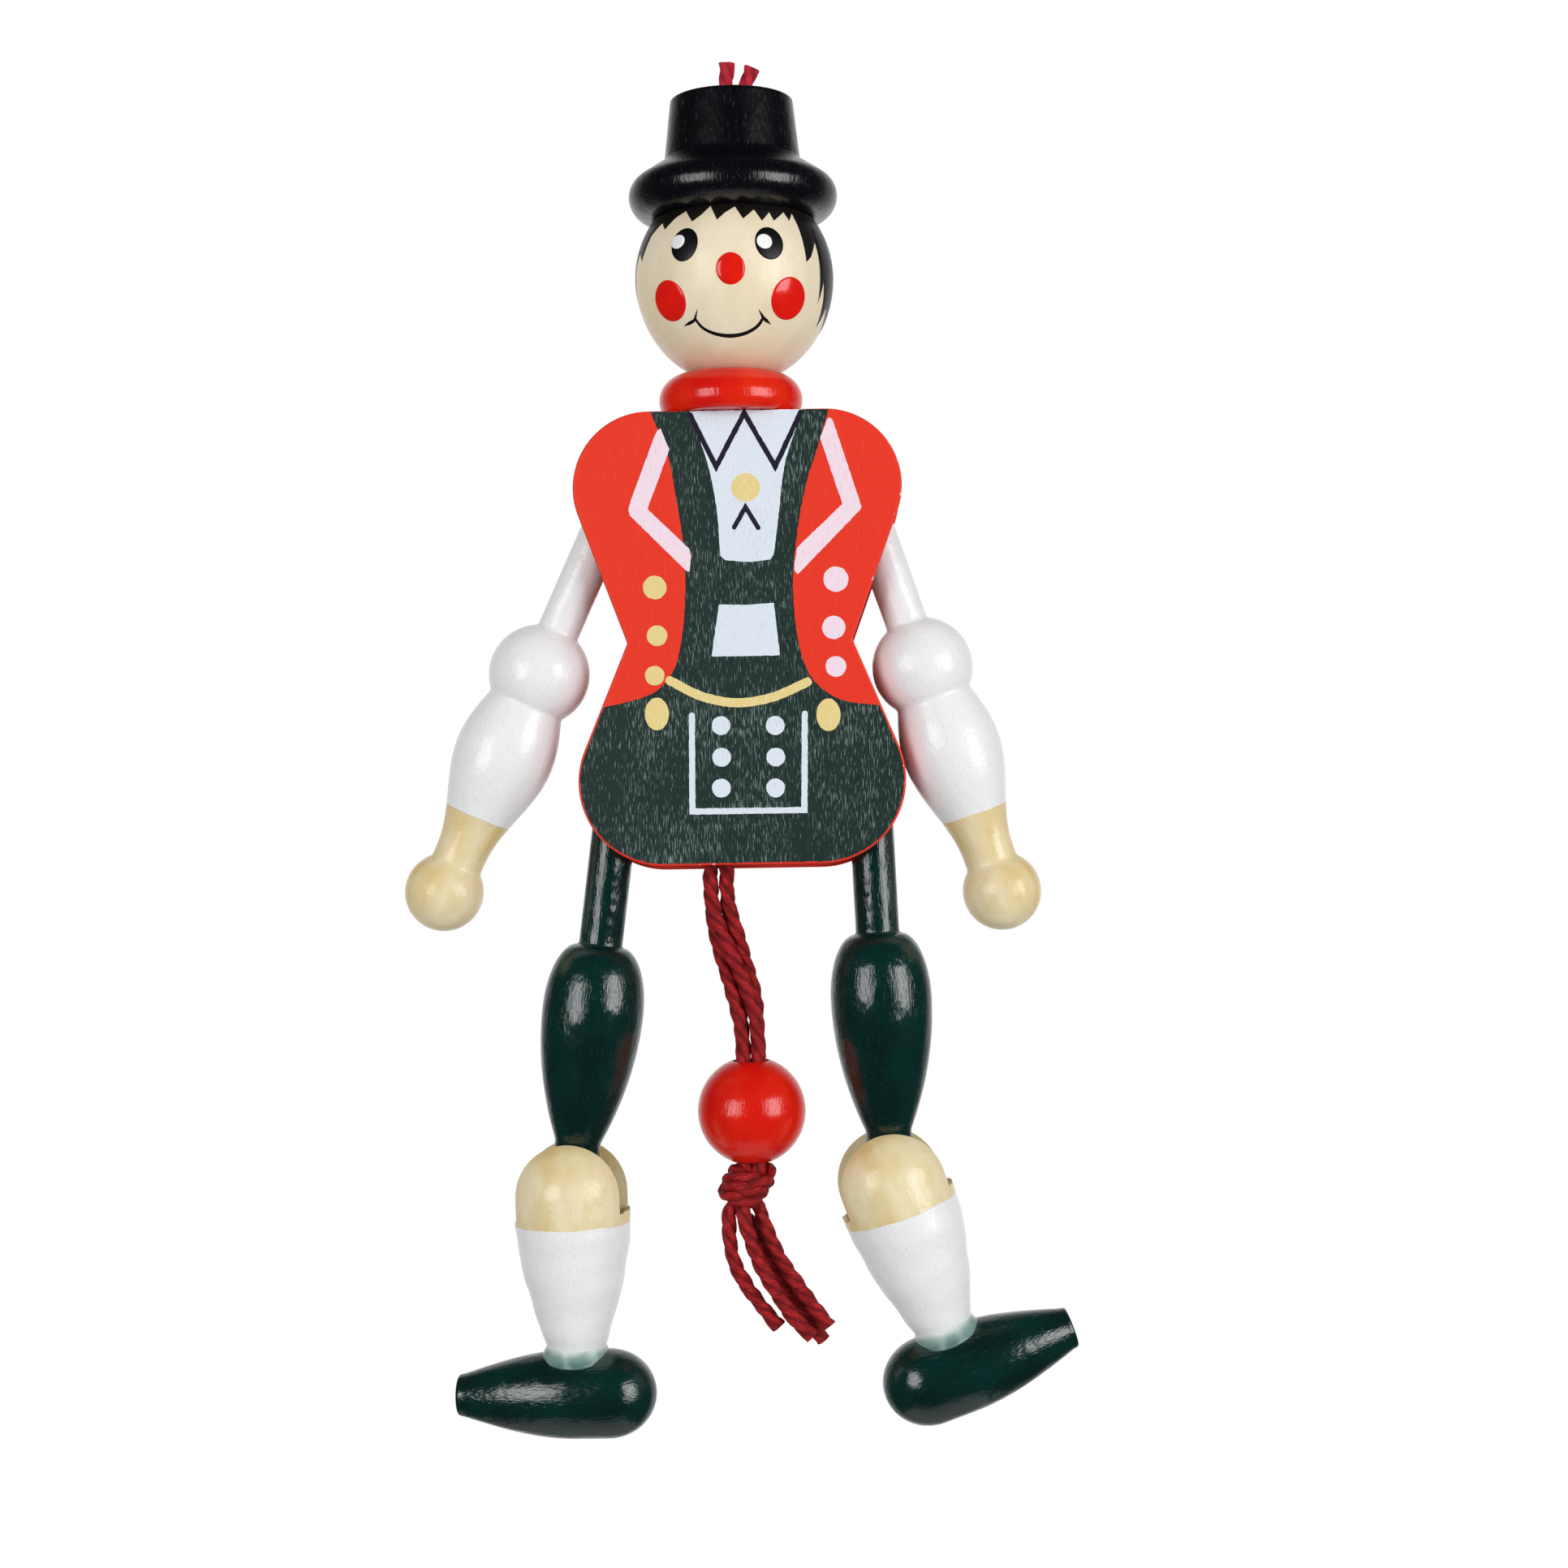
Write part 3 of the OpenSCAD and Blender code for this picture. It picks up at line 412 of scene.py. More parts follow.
def set_points(mesh, points):
    """Moves the mesh's points."""
    mesh.vertices.foreach_set("co", np.asarray(points, np.float32).ravel())
    mesh.update()


def keep(mesh, name, values):
    """Stores one number, or one vector, per point as an attribute."""
    values = np.asarray(values, np.float32)
    kind = "FLOAT" if values.ndim == 1 else "FLOAT_VECTOR"
    attribute = mesh.attributes.new(name, kind, "POINT")
    attribute.data.foreach_set("value" if kind == "FLOAT" else "vector", values.ravel())


def finish_piece(
    name, mesh, material, body, move=None, bare=None, made=None, valley_shade=None, sharp=40.0, replaces=(),
):
    """Names, places and shades a piece. move maps upright points to the hung place, made is where grain is
    read, sharp is the angle in degrees from which an edge stays sharp."""
    upright = coordinates(mesh)
    keep(mesh, "made", upright if made is None else made)
    if bare is not None:
        keep(mesh, "bare", bare(upright))
    if valley_shade is not None:
        keep(mesh, "valley_shade", valley_shade)
    set_points(mesh, (move(upright) if move else upright) * MM)
    mesh.materials.clear()
    mesh.materials.append(material)
    mesh.polygons.foreach_set("use_smooth", np.ones(len(mesh.polygons), bool))
    mesh.polygons.foreach_set("material_index", np.zeros(len(mesh.polygons), np.int32))
    mesh.set_sharp_from_angle(angle=math.radians(sharp))
    mesh.update()
    piece = bpy.data.objects.new(name, mesh)
    bpy.context.scene.collection.objects.link(piece)
    if body:
        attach(piece, body)
    if replaces:
        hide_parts(*replaces)
    return piece


print("a 3 x 4 closed grid has", len(grid_faces(3, 4)), "faces")

# %% [markdown]
# ## Cords first
# Four strands leave the body's lower edge, twist once round each other, run through the bead, are knotted
# together and end in cut tails. Each is one three-ply rope along a smooth curve through a few points.

# %% Curves and the rope surface
STEP = 0.3


def smooth_path(points, step=STEP):
    """A curve through the points: on each stretch a cubic that leaves and arrives along its neighbours' chord
    (Catmull-Rom), resampled to even steps along its length."""
    p = np.asarray(points, float)
    p = np.vstack([2 * p[0] - p[1], p, 2 * p[-1] - p[-2]])
    t = np.linspace(0, 1, 40, endpoint=False)[:, None, None]
    a, b, c, d = p[:-3], p[1:-2], p[2:-1], p[3:]
    square, cube = 2 * a - 5 * b + 4 * c - d, 3 * b - a - 3 * c + d
    q = 0.5 * (2 * b + (c - a) * t + square * t ** 2 + cube * t ** 3)
    q = np.vstack([q.transpose(1, 0, 2).reshape(-1, p.shape[1]), p[-2]])
    return even_steps(q, step)


def even_steps(q, step):
    """The same polyline with points at even distances along it."""
    length = np.concatenate([[0], np.cumsum(np.linalg.norm(np.diff(q, axis=0), axis=1))])
    at = np.linspace(0, length[-1], max(2, int(round(length[-1] / step)) + 1))
    return np.stack([np.interp(at, length, q[:, k]) for k in range(q.shape[1])], -1)


def path_length(q):
    """Sum of the distances between neighbouring points."""
    return float(np.linalg.norm(np.diff(q, axis=0), axis=1).sum())


PLIES, ROPE_SIDES = 3, 30
PLY_CENTRE, PLY_RADIUS = 0.36, 0.64
FLARE_LENGTH = 1.6


def rope_surface(path, radius=1.02, pitch=8.0, flare=0.0, seed=0.0):
    """Three round plies twisted together. At angle a the outline is the nearest ply's far side:
    r(a) = c cos(a) + sqrt(p^2 - c^2 sin^2(a)), with ply centre c = 0.36 r and ply radius p = 0.64 r.
    The angle turns once per pitch, slow waves make it lumpy, and the end widens by the share flare.
    Returns points, faces, valley depth for painted shade and the unrolled place for fibres."""
    along = np.gradient(path, axis=0)
    along /= np.linalg.norm(along, axis=1)[:, None]
    side = np.cross(along, [0.0, 1.0, 0.0])
    side /= np.linalg.norm(side, axis=1)[:, None]
    up = np.cross(side, along)
    s = np.concatenate([[0], np.cumsum(np.linalg.norm(np.diff(path, axis=0), axis=1))])
    angle = np.linspace(0, 2 * np.pi, ROPE_SIDES, endpoint=False)
    s_row = s[:, None]
    turn = angle[None, :] - 2 * np.pi * s_row / pitch + seed
    ply = (turn % (2 * np.pi / PLIES)) - np.pi / PLIES
    c, p = PLY_CENTRE * radius, PLY_RADIUS * radius
    r = c * np.cos(ply) + np.sqrt(p * p - (c * np.sin(ply)) ** 2)
    lump = 1 + 0.05 * np.sin(s_row * 1.7 + seed * 3) * np.cos(2 * angle + s_row * 0.9)
    lump += 0.04 * np.sin(s_row * 3.1 + seed) * np.sin(3 * angle - s_row * 2.3 + seed)
    lump += 0.03 * np.sin(s_row * 0.8 + seed * 2)
    grow = 1 + flare * np.clip((s_row - s[-1] + FLARE_LENGTH) / FLARE_LENGTH, 0, 1) ** 2
    r = np.minimum(r * lump * grow, radius * 1.04 * grow)
    out = np.cos(angle)[None, :, None] * side[:, None] + np.sin(angle)[None, :, None] * up[:, None]
    points = path[:, None] + r[..., None] * out
    # How deep a point lies between the plies, used to paint shade there
    valley_shade = np.clip((radius - r / grow) / (0.22 * radius), 0, 1) ** 1.5
    unrolled = together(radius * turn, 0.0, s_row)
    return points.reshape(-1, 3), tube_faces(len(path), ROPE_SIDES), valley_shade.ravel(), unrolled.reshape(-1, 3)


def rope_piece(name, path, body, replaces=(), dye=cotton, **look):
    """One rope as a finished piece."""
    points, faces, valley_shade, unrolled = rope_surface(path, **look)
    return finish_piece(
        name, make_mesh(name, points, faces, weld=False), dye, body,
        valley_shade=valley_shade, made=unrolled, sharp=60, replaces=replaces,
    )


straight = smooth_path([(0, 0, 0), (0, 0, 5), (0, 0, 10)])
print("a straight rope of 10 mm measures", round(path_length(straight), 2))

# %% Routes of the four strands
STRANDS = {
    "left_arm": [
        (-4.6, -1.05, -103.2), (-4.6, -1.1, -107), (-3.7, -1.4, -111), (-2.1, -1.5, -115), (-0.4, -1.5, -119),
        (0.9, -1.3, -123), (1.4, -1.05, -127), (1.43, -1.03, -130), (1.43, -1.03, -137), (1.2, -1.03, -144.5),
        (-2.5, -0.6, -149.5), (-2.9, -0.6, -153.2), (-2.3, -0.4, -157), (-0.7, -0.2, -160.3), (1.2, 0, -163),
        (3.5, 0.2, -166),
    ],
    "right_arm": [
        (-2.4, -1.05, -103.2), (-2.4, -1, -107), (-1.6, -0.7, -111), (-0.5, -0.1, -115), (0.6, 0.5, -119),
        (1.3, 0.9, -123), (1.4, 1.05, -127), (1.43, 1.03, -130), (1.43, 1.03, -137), (1.3, 0.9, -144.5),
        (-0.9, -1.2, -149.5), (-0.2, -1.2, -153.5), (1.3, -1.2, -157.5), (3.2, -1.1, -161), (5.6, -1, -164.6),
        (8, -0.9, -167.2),
    ],
    "right_leg": [
        (-2.4, 1.05, -103.2), (-2.5, 1.1, -107), (-2.3, 1.4, -111), (-1.9, 1.5, -115), (-1.4, 1.5, -119),
        (-0.9, 1.3, -123), (-0.65, 1.05, -127), (-0.63, 1.03, -130), (-0.63, 1.03, -137), (-0.7, 1.1, -144.5),
        (-1.2, 1.6, -149.5), (0.4, 2.4, -153.5), (2.4, 2.8, -157.5), (4.6, 2.9, -161), (7, 2.9, -164.8),
        (9.6, 2.8, -168.6),
    ],
    "left_leg": [
        (-4.6, 1.05, -103.2), (-4.6, 1, -107), (-4.4, 0.7, -111), (-3.5, 0.1, -115), (-2.4, -0.5, -119),
        (-1.3, -0.9, -123), (-0.7, -1.05, -127), (-0.63, -1.03, -130), (-0.63, -1.03, -137),
        (-0.5, -0.9, -144.5), (0.9, 0.9, -149.2), (2.2, 0.9, -153.2), (4, 0.9, -157), (6.2, 0.9, -160.5),
        (8.6, 0.8, -163.8), (10.3, 0.7, -166.2),
    ],
}
strand_paths = {name: smooth_path(points) for name, points in STRANDS.items()}
for name, path in strand_paths.items():
    print(name, "strand:", round(path_length(path), 1), "mm")

# %% [markdown]
# The knot is a simple one tied in all four strands together. From outside it shows as a few slanting turns
# of cord pulled tight round the bundle, so it is built as a rope wound in a short, tilted, barrel-shaped coil.

# %% Pull knot and strands
KNOT_TURNS, KNOT_TILT = 3.2, math.radians(9)
KNOT_TOP = np.array([-0.45, 0.0, -143.8])
t = np.linspace(0, 1, 260)
around = 2 * np.pi * KNOT_TURNS * t - 0.5
barrel = 1.7 + 0.6 * np.sin(np.pi * t) ** 0.5
x, z = barrel * np.cos(around) + 1.15 - 2.3 * t, -0.5 - 4.5 * t
knot_path = together(x * math.cos(KNOT_TILT), barrel * np.sin(around), z - x * math.sin(KNOT_TILT)) + KNOT_TOP
pull_knot = rope_piece(
    "cotton_pull_knot", even_steps(knot_path, STEP), "pull", ["pull_knot"], radius=1.14, pitch=7.0, seed=1.0,
)

for name, path in strand_paths.items():
    strand = rope_piece(
        name + "_pull_strand", path, None, [name + "_cord", name + "_tail"], flare=0.08, seed=len(name) * 0.7,
    )
    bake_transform(strand)
print("four strands and their knot")

# %% Places of the joints
BODY_TOP, BODY_BOTTOM = -42.640, -103.140
PIN = {
    "left_arm": (-15.4, -51.040), "right_arm": (15.4, -49.840),
    "left_leg": (-17.1, -94.540), "right_leg": (17.1, -93.340),
}
TILT = {"left_arm": 24.6, "right_arm": -18.6, "left_leg": 7.6, "right_leg": -2.2}
BEND = {"left": -8.6, "right": -16.8}
KNEE_REACH, KNEE_TURN = 53.5, {"left": -5.5, "right": 2.7}


def turn_y(p, angle):
    """x' = x cos a + z sin a, z' = -x sin a + z cos a."""
    a = math.radians(angle)
    x, y, z = p.T
    return together(x * math.cos(a) + z * math.sin(a), y, z * math.cos(a) - x * math.sin(a))


def turn_z(p, angle):
    """x' = x cos a - y sin a, y' = x sin a + y cos a."""
    a = math.radians(angle)
    x, y, z = p.T
    return together(x * math.cos(a) - y * math.sin(a), x * math.sin(a) + y * math.cos(a), z)


def hang(limb):
    """A map from upright points to the hung limb: mirrored for a right one, turned about Y, moved to its pin."""
    flip = np.array([-1.0 if limb.startswith("right") else 1.0, 1.0, 1.0])
    return lambda p: turn_y(p * flip, TILT[limb]) + [PIN[limb][0], 0, PIN[limb][1]]


def hang_at_knee(side, mirrored=False):
    """A map from upright points to the lower leg. The knee's pin was drilled at a turn about the leg:
    bend about the pin, turn about the leg, tilt with the thigh, move to the knee."""
    flip = np.array([-1.0 if mirrored else 1.0, 1.0, 1.0])
    leg = side + "_leg"
    knee = hang(leg)(np.array([[0, 0, -KNEE_REACH]]))[0]
    return lambda p: turn_y(turn_z(turn_y(p * flip, BEND[side]), KNEE_TURN[side]), TILT[leg]) + knee


SIDES = ("left", "right")
print("knees at", [np.round(hang_at_knee(side)(np.zeros((1, 3)))[0], 2).tolist() for side in SIDES])

# %% [markdown]
# Between the boards each strand goes on to the inner end of its limb. These stretches only show from the
# side, through the gap. The upper end meets the limb's lever.

# %% Inner cords and their stopper knots
# Length of the lever above the pin, radius of the rod, share of the cord that gives way, rise of its lower end
LIMBS = {"arm": (4.2, 2.85, 0.2, 0.3), "leg": (5.5, 2.95, 1.0, 1.1)}
STOPPER_TURNS, STOPPER_R = 1.9, 0.95
for side in SIDES:
    for limb, (lever, rod_r, share, rise) in LIMBS.items():
        name = side + "_" + limb
        move = hang(name)
        body = side + ("_arm_body" if limb == "arm" else "_thigh_body")
        top = move(np.array([[rod_r + 1.2, 0, lever]]))[0]
        bottom = np.array(STRANDS[name][0]) + [0, 0, rise]
        straight = even_steps(np.array([top, bottom]), STEP)
        cord = rope_piece(name + "_cord_in_body", straight, None, [name + "_inner_cord"])
        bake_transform(cord)
        stub = together(np.linspace(-rod_r - 0.3, rod_r + 0.25, 24), 0.0, lever)
        wind = np.linspace(0, 2 * np.pi * STOPPER_TURNS, 60)
        wrap = together(
            0.2 - rod_r - wind / 60, STOPPER_R * np.cos(wind), lever + STOPPER_R * np.sin(wind),
        )
        rope_piece(name + "_cord_in_lever", move(stub), body, [name + "_knot"], radius=0.98)
        rope_piece(name + "_stopper", move(wrap), body, [name + "_knot"], radius=0.62, pitch=3.5)
print("inner cords done")

# %% [markdown]
# The hanging cord is doubled. It is knotted under the neck block, runs up through neck ring, head and hat,
# and both ends are cut a few millimetres above the crown, where they fan out and fray a little.

# %% Hanging cord
CORD_X, COIL_R = 0.5, 1.75
left_run = smooth_path([
    (-0.6, 0, -58.6), (-0.6, 0, -30), (-0.6, 0, -1), (-0.72, 0, 1.4), (-0.62, 0, 3.4), (-0.5, 0, 5.15),
])
right_run = smooth_path([
    (1.6, 0, -58.6), (1.6, 0, -30), (1.6, 0, -1), (1.75, 0, 1.2), (2.3, 0, 3.0), (2.85, 0, 4.45),
])
rope_piece("left_hanging_strand", left_run, "torso", ["hanging_cord"], fresh_cotton, flare=0.12)
rope_piece("right_hanging_strand", right_run, "torso", ["hanging_cord"], fresh_cotton, flare=0.14, seed=2.0)
wind = np.linspace(0, 2 * np.pi * 2, 120)
coil = together(
    CORD_X + COIL_R * np.cos(wind), COIL_R * np.sin(wind), -59.8 - 1.9 * wind / wind[-1] + 0.4 * np.cos(wind),
)
core = np.array([[CORD_X, 0, -58.65], [CORD_X, 0, -62.4]])
rope_piece("hanger_knot_turns", even_steps(coil, STEP), "torso", ["hanger_knot"])
rope_piece("hanger_knot_core", even_steps(core, STEP), "torso", ["hanger_knot"])
print("hanging cord:", round(path_length(left_run), 1), "and", round(path_length(right_run), 1), "mm")

# %% [markdown]
# ## Turned pieces
# A lathe makes a surface of revolution, so each turned piece is one profile spun round its axis. The
# profiles are joined from quarter waves and arcs. Lacquer and sanding soften every edge, so the profile is
# resampled to even steps and blurred a little before it is spun.

# %% Profile helpers
def swell(s0, r0, s1, r1, wave="rise"):
    """Radius r0 + (r1 - r0) w(t) from depth s0 to s1, with w one of: rise = sin(90 t), fall = t^2,
    blunt = sqrt(1 - (1 - t)^2), ease = (1 - cos(180 t)) / 2."""
    t = np.linspace(0, 1, 30) ** (2 if wave == "blunt" else 1)
    share = {
        "rise": np.sin(np.pi / 2 * t), "fall": t * t,
        "blunt": np.sqrt(1 - (1 - t) ** 2), "ease": (1 - np.cos(np.pi * t)) / 2,
    }[wave]
    return together(r0 + (r1 - r0) * share, -(s0 + (s1 - s0) * t))


def arc(centre, radius, a0, a1, n=40):
    """Points centre + radius (cos a, sin a) for a from a0 to a1 degrees."""
    a = np.radians(np.linspace(a0, a1, n))
    return together(centre[0] + radius * np.cos(a), centre[1] + radius * np.sin(a))


def soften(profile, blur=0.22, step=STEP, closed=False):
    """Even steps, then a weighted mean of neighbours with a bell-shaped weight of width blur in mm, of which
    every third is kept. At the axis the profile is continued by its mirror image, so the pole stays round."""
    small = step / 3
    reach = max(1, int(3 * blur / small))
    weight = np.exp(-0.5 * (np.arange(-reach, reach + 1) * small / blur) ** 2)
    weight /= weight.sum()
    if closed:
        fine = even_steps(np.vstack([profile, profile[:1]]), small)[:-1]
        padded = np.vstack([fine[-reach:], fine, fine[:reach]])
    else:
        fine = even_steps(profile, small)
        flip = np.array([-1.0, 1.0])
        padded = np.vstack([fine[reach:0:-1] * flip, fine, fine[-2:-reach - 2:-1] * flip])
    out = together(*(np.convolve(column, weight, "valid") for column in padded.T))
    kept = np.arange(0, len(out), 3)
    if not closed:
        out[0, 0] = out[-1, 0] = 0.0
        kept[-1] = len(out) - 1
    return out[kept]


def spin(name, profile, around=96, closed=False):
    """Surface (r cos a, r sin a, z) of a profile of r and z."""
    a = np.linspace(0, 2 * np.pi, around, endpoint=False)
    r, z = profile.T[..., None]
    return make_mesh(
        name, together(r * np.cos(a), r * np.sin(a), z), grid_faces(len(profile), around, close_rows=closed),
    )


X, Y, Z = range(3)
DRILL_SIDES = 32


def drill(centre, direction, radius, length, turn=0.0):
    """A closed cylinder along X, Y or Z, turned about Z by turn degrees and used as a cutter."""
    a = np.linspace(0, 2 * np.pi, DRILL_SIDES, endpoint=False)
    points = np.zeros((2, DRILL_SIDES, 3))
    points[..., direction] = [[-length / 2], [length / 2]]
    points[..., (direction + 1) % 3] = radius * np.cos(a)
    points[..., (direction + 2) % 3] = radius * np.sin(a)
    return make_mesh("drill", turn_z(points.reshape(-1, 3), turn) + centre, tube_faces(2, DRILL_SIDES))


PIN_BORE_R, CORD_BORE_R, STOPPER_SEAT_R, SEAT_DEPTH = 0.85, 1.1, 1.62, 0.8


def limb_cutters(limb):
    """Holes for the pin and for the cord in a limb's lever, and the seat of the cord's stopper knot."""
    lever, rod_r = LIMBS[limb][:2]
    seat_length = 6
    return [
        drill((0, 0, 0), Y, PIN_BORE_R, 8), drill((0, 0, lever), X, CORD_BORE_R, 8),
        drill((SEAT_DEPTH - rod_r - seat_length / 2, 0, lever), X, STOPPER_SEAT_R, seat_length),
    ]


print("profile helpers ready")

# %% Hat, head, neck ring and pull bead
HEAD_Z, HEAD_R, HEAD_DROP, CORD_HOLE_R = -24.15, 13.35, 14.1, 2.65
seat = arc((0, HEAD_Z), 13.4, 36.4, 78.6)
brim = np.vstack([arc((11.1, -13.0), 3.0, 57, 0), arc((10.9, -13.0), 3.2, 0, -90)])
crown = [(CORD_HOLE_R, 0.1), (7.9, 0.1), (8.3, 0.0), (9.2, -8.2)]
hat_profile = np.vstack([crown, brim, seat, (CORD_HOLE_R, -11.0)])
hat_mesh = spin("hat", soften(hat_profile, 0.15, 0.25, closed=True), 144, closed=True)
finish_piece("turned_hat", hat_mesh, hat_lacquer, "head_and_hat", replaces=["hat"])


def head_outline(grow, stop=CORD_HOLE_R):
    """Quarter circle above the head's middle, quarter ellipse HEAD_DROP deep below it, both grown by grow and
    kept down to radius stop."""
    reach = np.radians(np.linspace(0, 90, 80))
    r = (HEAD_R + grow) * np.sin(reach)
    upper = together(r, HEAD_Z + (HEAD_R + grow) * np.cos(reach))
    lower = together(r, HEAD_Z - (HEAD_DROP + grow) * np.cos(reach))[::-1]
    line = np.vstack([upper, lower[1:]])
    return line[line[:, 0] >= stop]


head_mesh = spin("head", soften(head_outline(0), 0.12, closed=True), 144, closed=True)
finish_piece("turned_head", head_mesh, head_wood, "head_and_hat", replaces=["head"])

# The loose ring has slipped a little to the left, and its top is hollowed to the head's shape
RING_BORE_R, RING_SHIFT, RING_H = 3.7, -0.75, 5.7
a = np.radians(np.linspace(0, 90, 40))
ring_profile = np.vstack([
    (RING_BORE_R, BODY_TOP),
    together(8.585 + 1.115 * np.sin(a), BODY_TOP + 2.143 * (1 - np.cos(a))),
    together(5.82 + 3.88 * np.cos(a), BODY_TOP + 2.143 + 3.557 * np.sin(a)),
    (RING_BORE_R, BODY_TOP + RING_H),
])
ring_mesh = spin("ring", soften(ring_profile, 0.15, 0.25, closed=True), 128, closed=True)
set_points(ring_mesh, coordinates(ring_mesh) + [RING_SHIFT, 0, 0])
ring_mesh = cut_away(ring_mesh, [spin("grown_head", head_outline(0.1, 0.0), 144)])
finish_piece("turned_neck_ring", ring_mesh, red_lacquer, "torso", replaces=["neck_ring"])

BEAD_X, BEAD_Z, BEAD_R, BEAD_BORE_R = 0.4, -136.640, 7.3, 2.464
bore_angle = math.degrees(math.asin(BEAD_BORE_R / BEAD_R))
bead_profile = arc((0, BEAD_Z), BEAD_R, 90 - bore_angle, -90 + bore_angle, 100)
bead_mesh = spin("bead", soften(bead_profile, 0.16, 0.25, closed=True), 112, closed=True)
finish_piece(
    "turned_pull_bead", bead_mesh, red_lacquer, "pull",
    move=lambda p: p + [BEAD_X, 0, 0], replaces=["pull_bead"],
)
print("faces: hat", len(hat_mesh.polygons), "head", len(head_mesh.polygons))

# %% Arms
ARM_PAINT_END = 49.6
arm_profile = soften(np.vstack([
    (0, 6.6), (2.85, 6.6),
    arc((0, -28.7), 6.8, 90 - 24.8, 90 - 130.8),
    swell(33.14, 5.15, 40.4, 6.7, "rise"),
    swell(40.4, 6.7, 55.4, 3.5, "ease"),
    arc((0, -60.8), 5.3, 90 - 41.3, -90),
]))
for side in SIDES:
    arm = finish_piece(
        side + "_turned_arm", cut_away(spin("arm", arm_profile, 84), limb_cutters("arm")), dipped,
        side + "_arm_body", move=hang(side + "_arm"),
        bare=lambda p: -p[:, 2] - ARM_PAINT_END, replaces=[side + "_arm"],
    )
print("arm faces:", len(arm.data.polygons))

# %% Thighs
thigh_profile = soften(np.vstack([
    (0, 7.9), (2.95, 7.9),
    swell(19.6, 2.95, 28.5, 6.85, "blunt"),
    swell(28.5, 6.85, 46.25, 3.1, "fall"),
    arc((0, -KNEE_REACH - 0.3), 3.1, 0, -90),
]))
for side in SIDES:
    # The right thigh is mirrored when it is hung, so its knee is drilled at the opposite turn
    turn = KNEE_TURN[side] * (1 if side == "left" else -1)
    cutters = limb_cutters("leg") + [drill((0, 0, -KNEE_REACH), Y, PIN_BORE_R, 9, turn)]
    thigh = finish_piece(
        side + "_turned_thigh", cut_away(spin("thigh", thigh_profile, 84), cutters), green_lacquer,
        side + "_thigh_body", move=hang(side + "_leg"), replaces=[side + "_thigh"],
    )
print("thigh faces:", len(thigh.data.polygons))

# %% [markdown]
# ## Calves and shoes
# The calf is domed on top and sawn down the middle, so the thigh's tongue swings in the slot on a pin. The
# saw cut is a boolean with a thin box. The shoe is a separate turning, glued on the calf's peg.

# %% Calves
CALF_R, ANKLE_R, SLOT_HALF, SLOT_FLOOR, CALF_PAINT_TOP = 7.85, 3.9, 3.4, -3.5, -3.8
TAPER_TOP, TAPER_L, PEG_END, TAPER_ARC = 1.6, 19.0, -23.2, math.pi / 2 * 0.875
t = np.linspace(0, 1, 40)
fallen = (1 - np.cos(TAPER_ARC * t)) / (1 - math.cos(TAPER_ARC))
calf_side = together(CALF_R - (CALF_R - ANKLE_R) * fallen, -(TAPER_TOP + TAPER_L * t))
calf_profile = soften(np.vstack([arc((0, 0), CALF_R, 90, 0), calf_side, (ANKLE_R, PEG_END), (0, PEG_END)]), 0.2)


BLOCK_TOP = BLOCK_REACH = 9.0


def saw_cut(lips, seed):
    """A block that opens the slot from side to side and upwards. Where the saw left the wood, near each mouth,
    the floor rises to a ragged lip: lip * rough(y) * (share of the way to the rim)^1.5."""
    x, y = np.linspace(-BLOCK_REACH, BLOCK_REACH, 90), np.linspace(-SLOT_HALF, SLOT_HALF, 26)
    rough = np.random.default_rng(seed).uniform(0.45, 1.0, (2, len(y)))
    rough = np.stack([np.convolve(np.r_[r[:1], r, r[-1:]], np.ones(3) / 3, "valid") for r in rough])
    way = np.clip((np.abs(x) - CALF_R + 2.1) / 1.5, 0, 1) ** 1.5
    mouth = (x > 0).astype(int)
    low = together(x[:, None], y, SLOT_FLOOR + (way * np.array(lips)[mouth])[:, None] * rough[mouth])
    high = low * [1, 1, 0] + [0, 0, BLOCK_TOP]
    rim = np.concatenate([low[0], low[1:, -1], low[-1, -2::-1], low[-2:0:-1, 0]])
    count, edge_count = len(x) * len(y), len(rim)
    walls = grid_faces(2, edge_count) + 2 * count
    flat = grid_faces(len(x), len(y), close_columns=False)
    points = np.vstack([low.reshape(-1, 3), high.reshape(-1, 3), rim, rim * [1, 1, 0] + [0, 0, BLOCK_TOP]])
    return make_mesh("saw_cut", points, np.vstack([flat, flat + count, walls]))


def dented(mesh, seed):
    """Thick paint below the paint line stands in soft dents: r grows by 0.13 sin(a + 0.4 z + s) sin(0.45 z + s)
    + 0.06 sin(2 a - 0.7 z + 2 s) sin(0.8 z)."""
    p = coordinates(mesh)
    a, z = np.arctan2(p[:, 1], p[:, 0]), p[:, 2]
    dents = 0.13 * np.sin(a + 0.4 * z + seed) * np.sin(0.45 * z + seed)
    dents += 0.06 * np.sin(2 * a - 0.7 * z + 2 * seed) * np.sin(0.8 * z)
    dents *= np.clip((-4.2 - z) / 1.5, 0, 1) * np.clip((z + 20.4) / 1.5, 0, 1)
    p[:, :2] *= (1 + dents / np.maximum(np.hypot(p[:, 0], p[:, 1]), 1.0))[:, None]
    set_points(mesh, p)
    return mesh


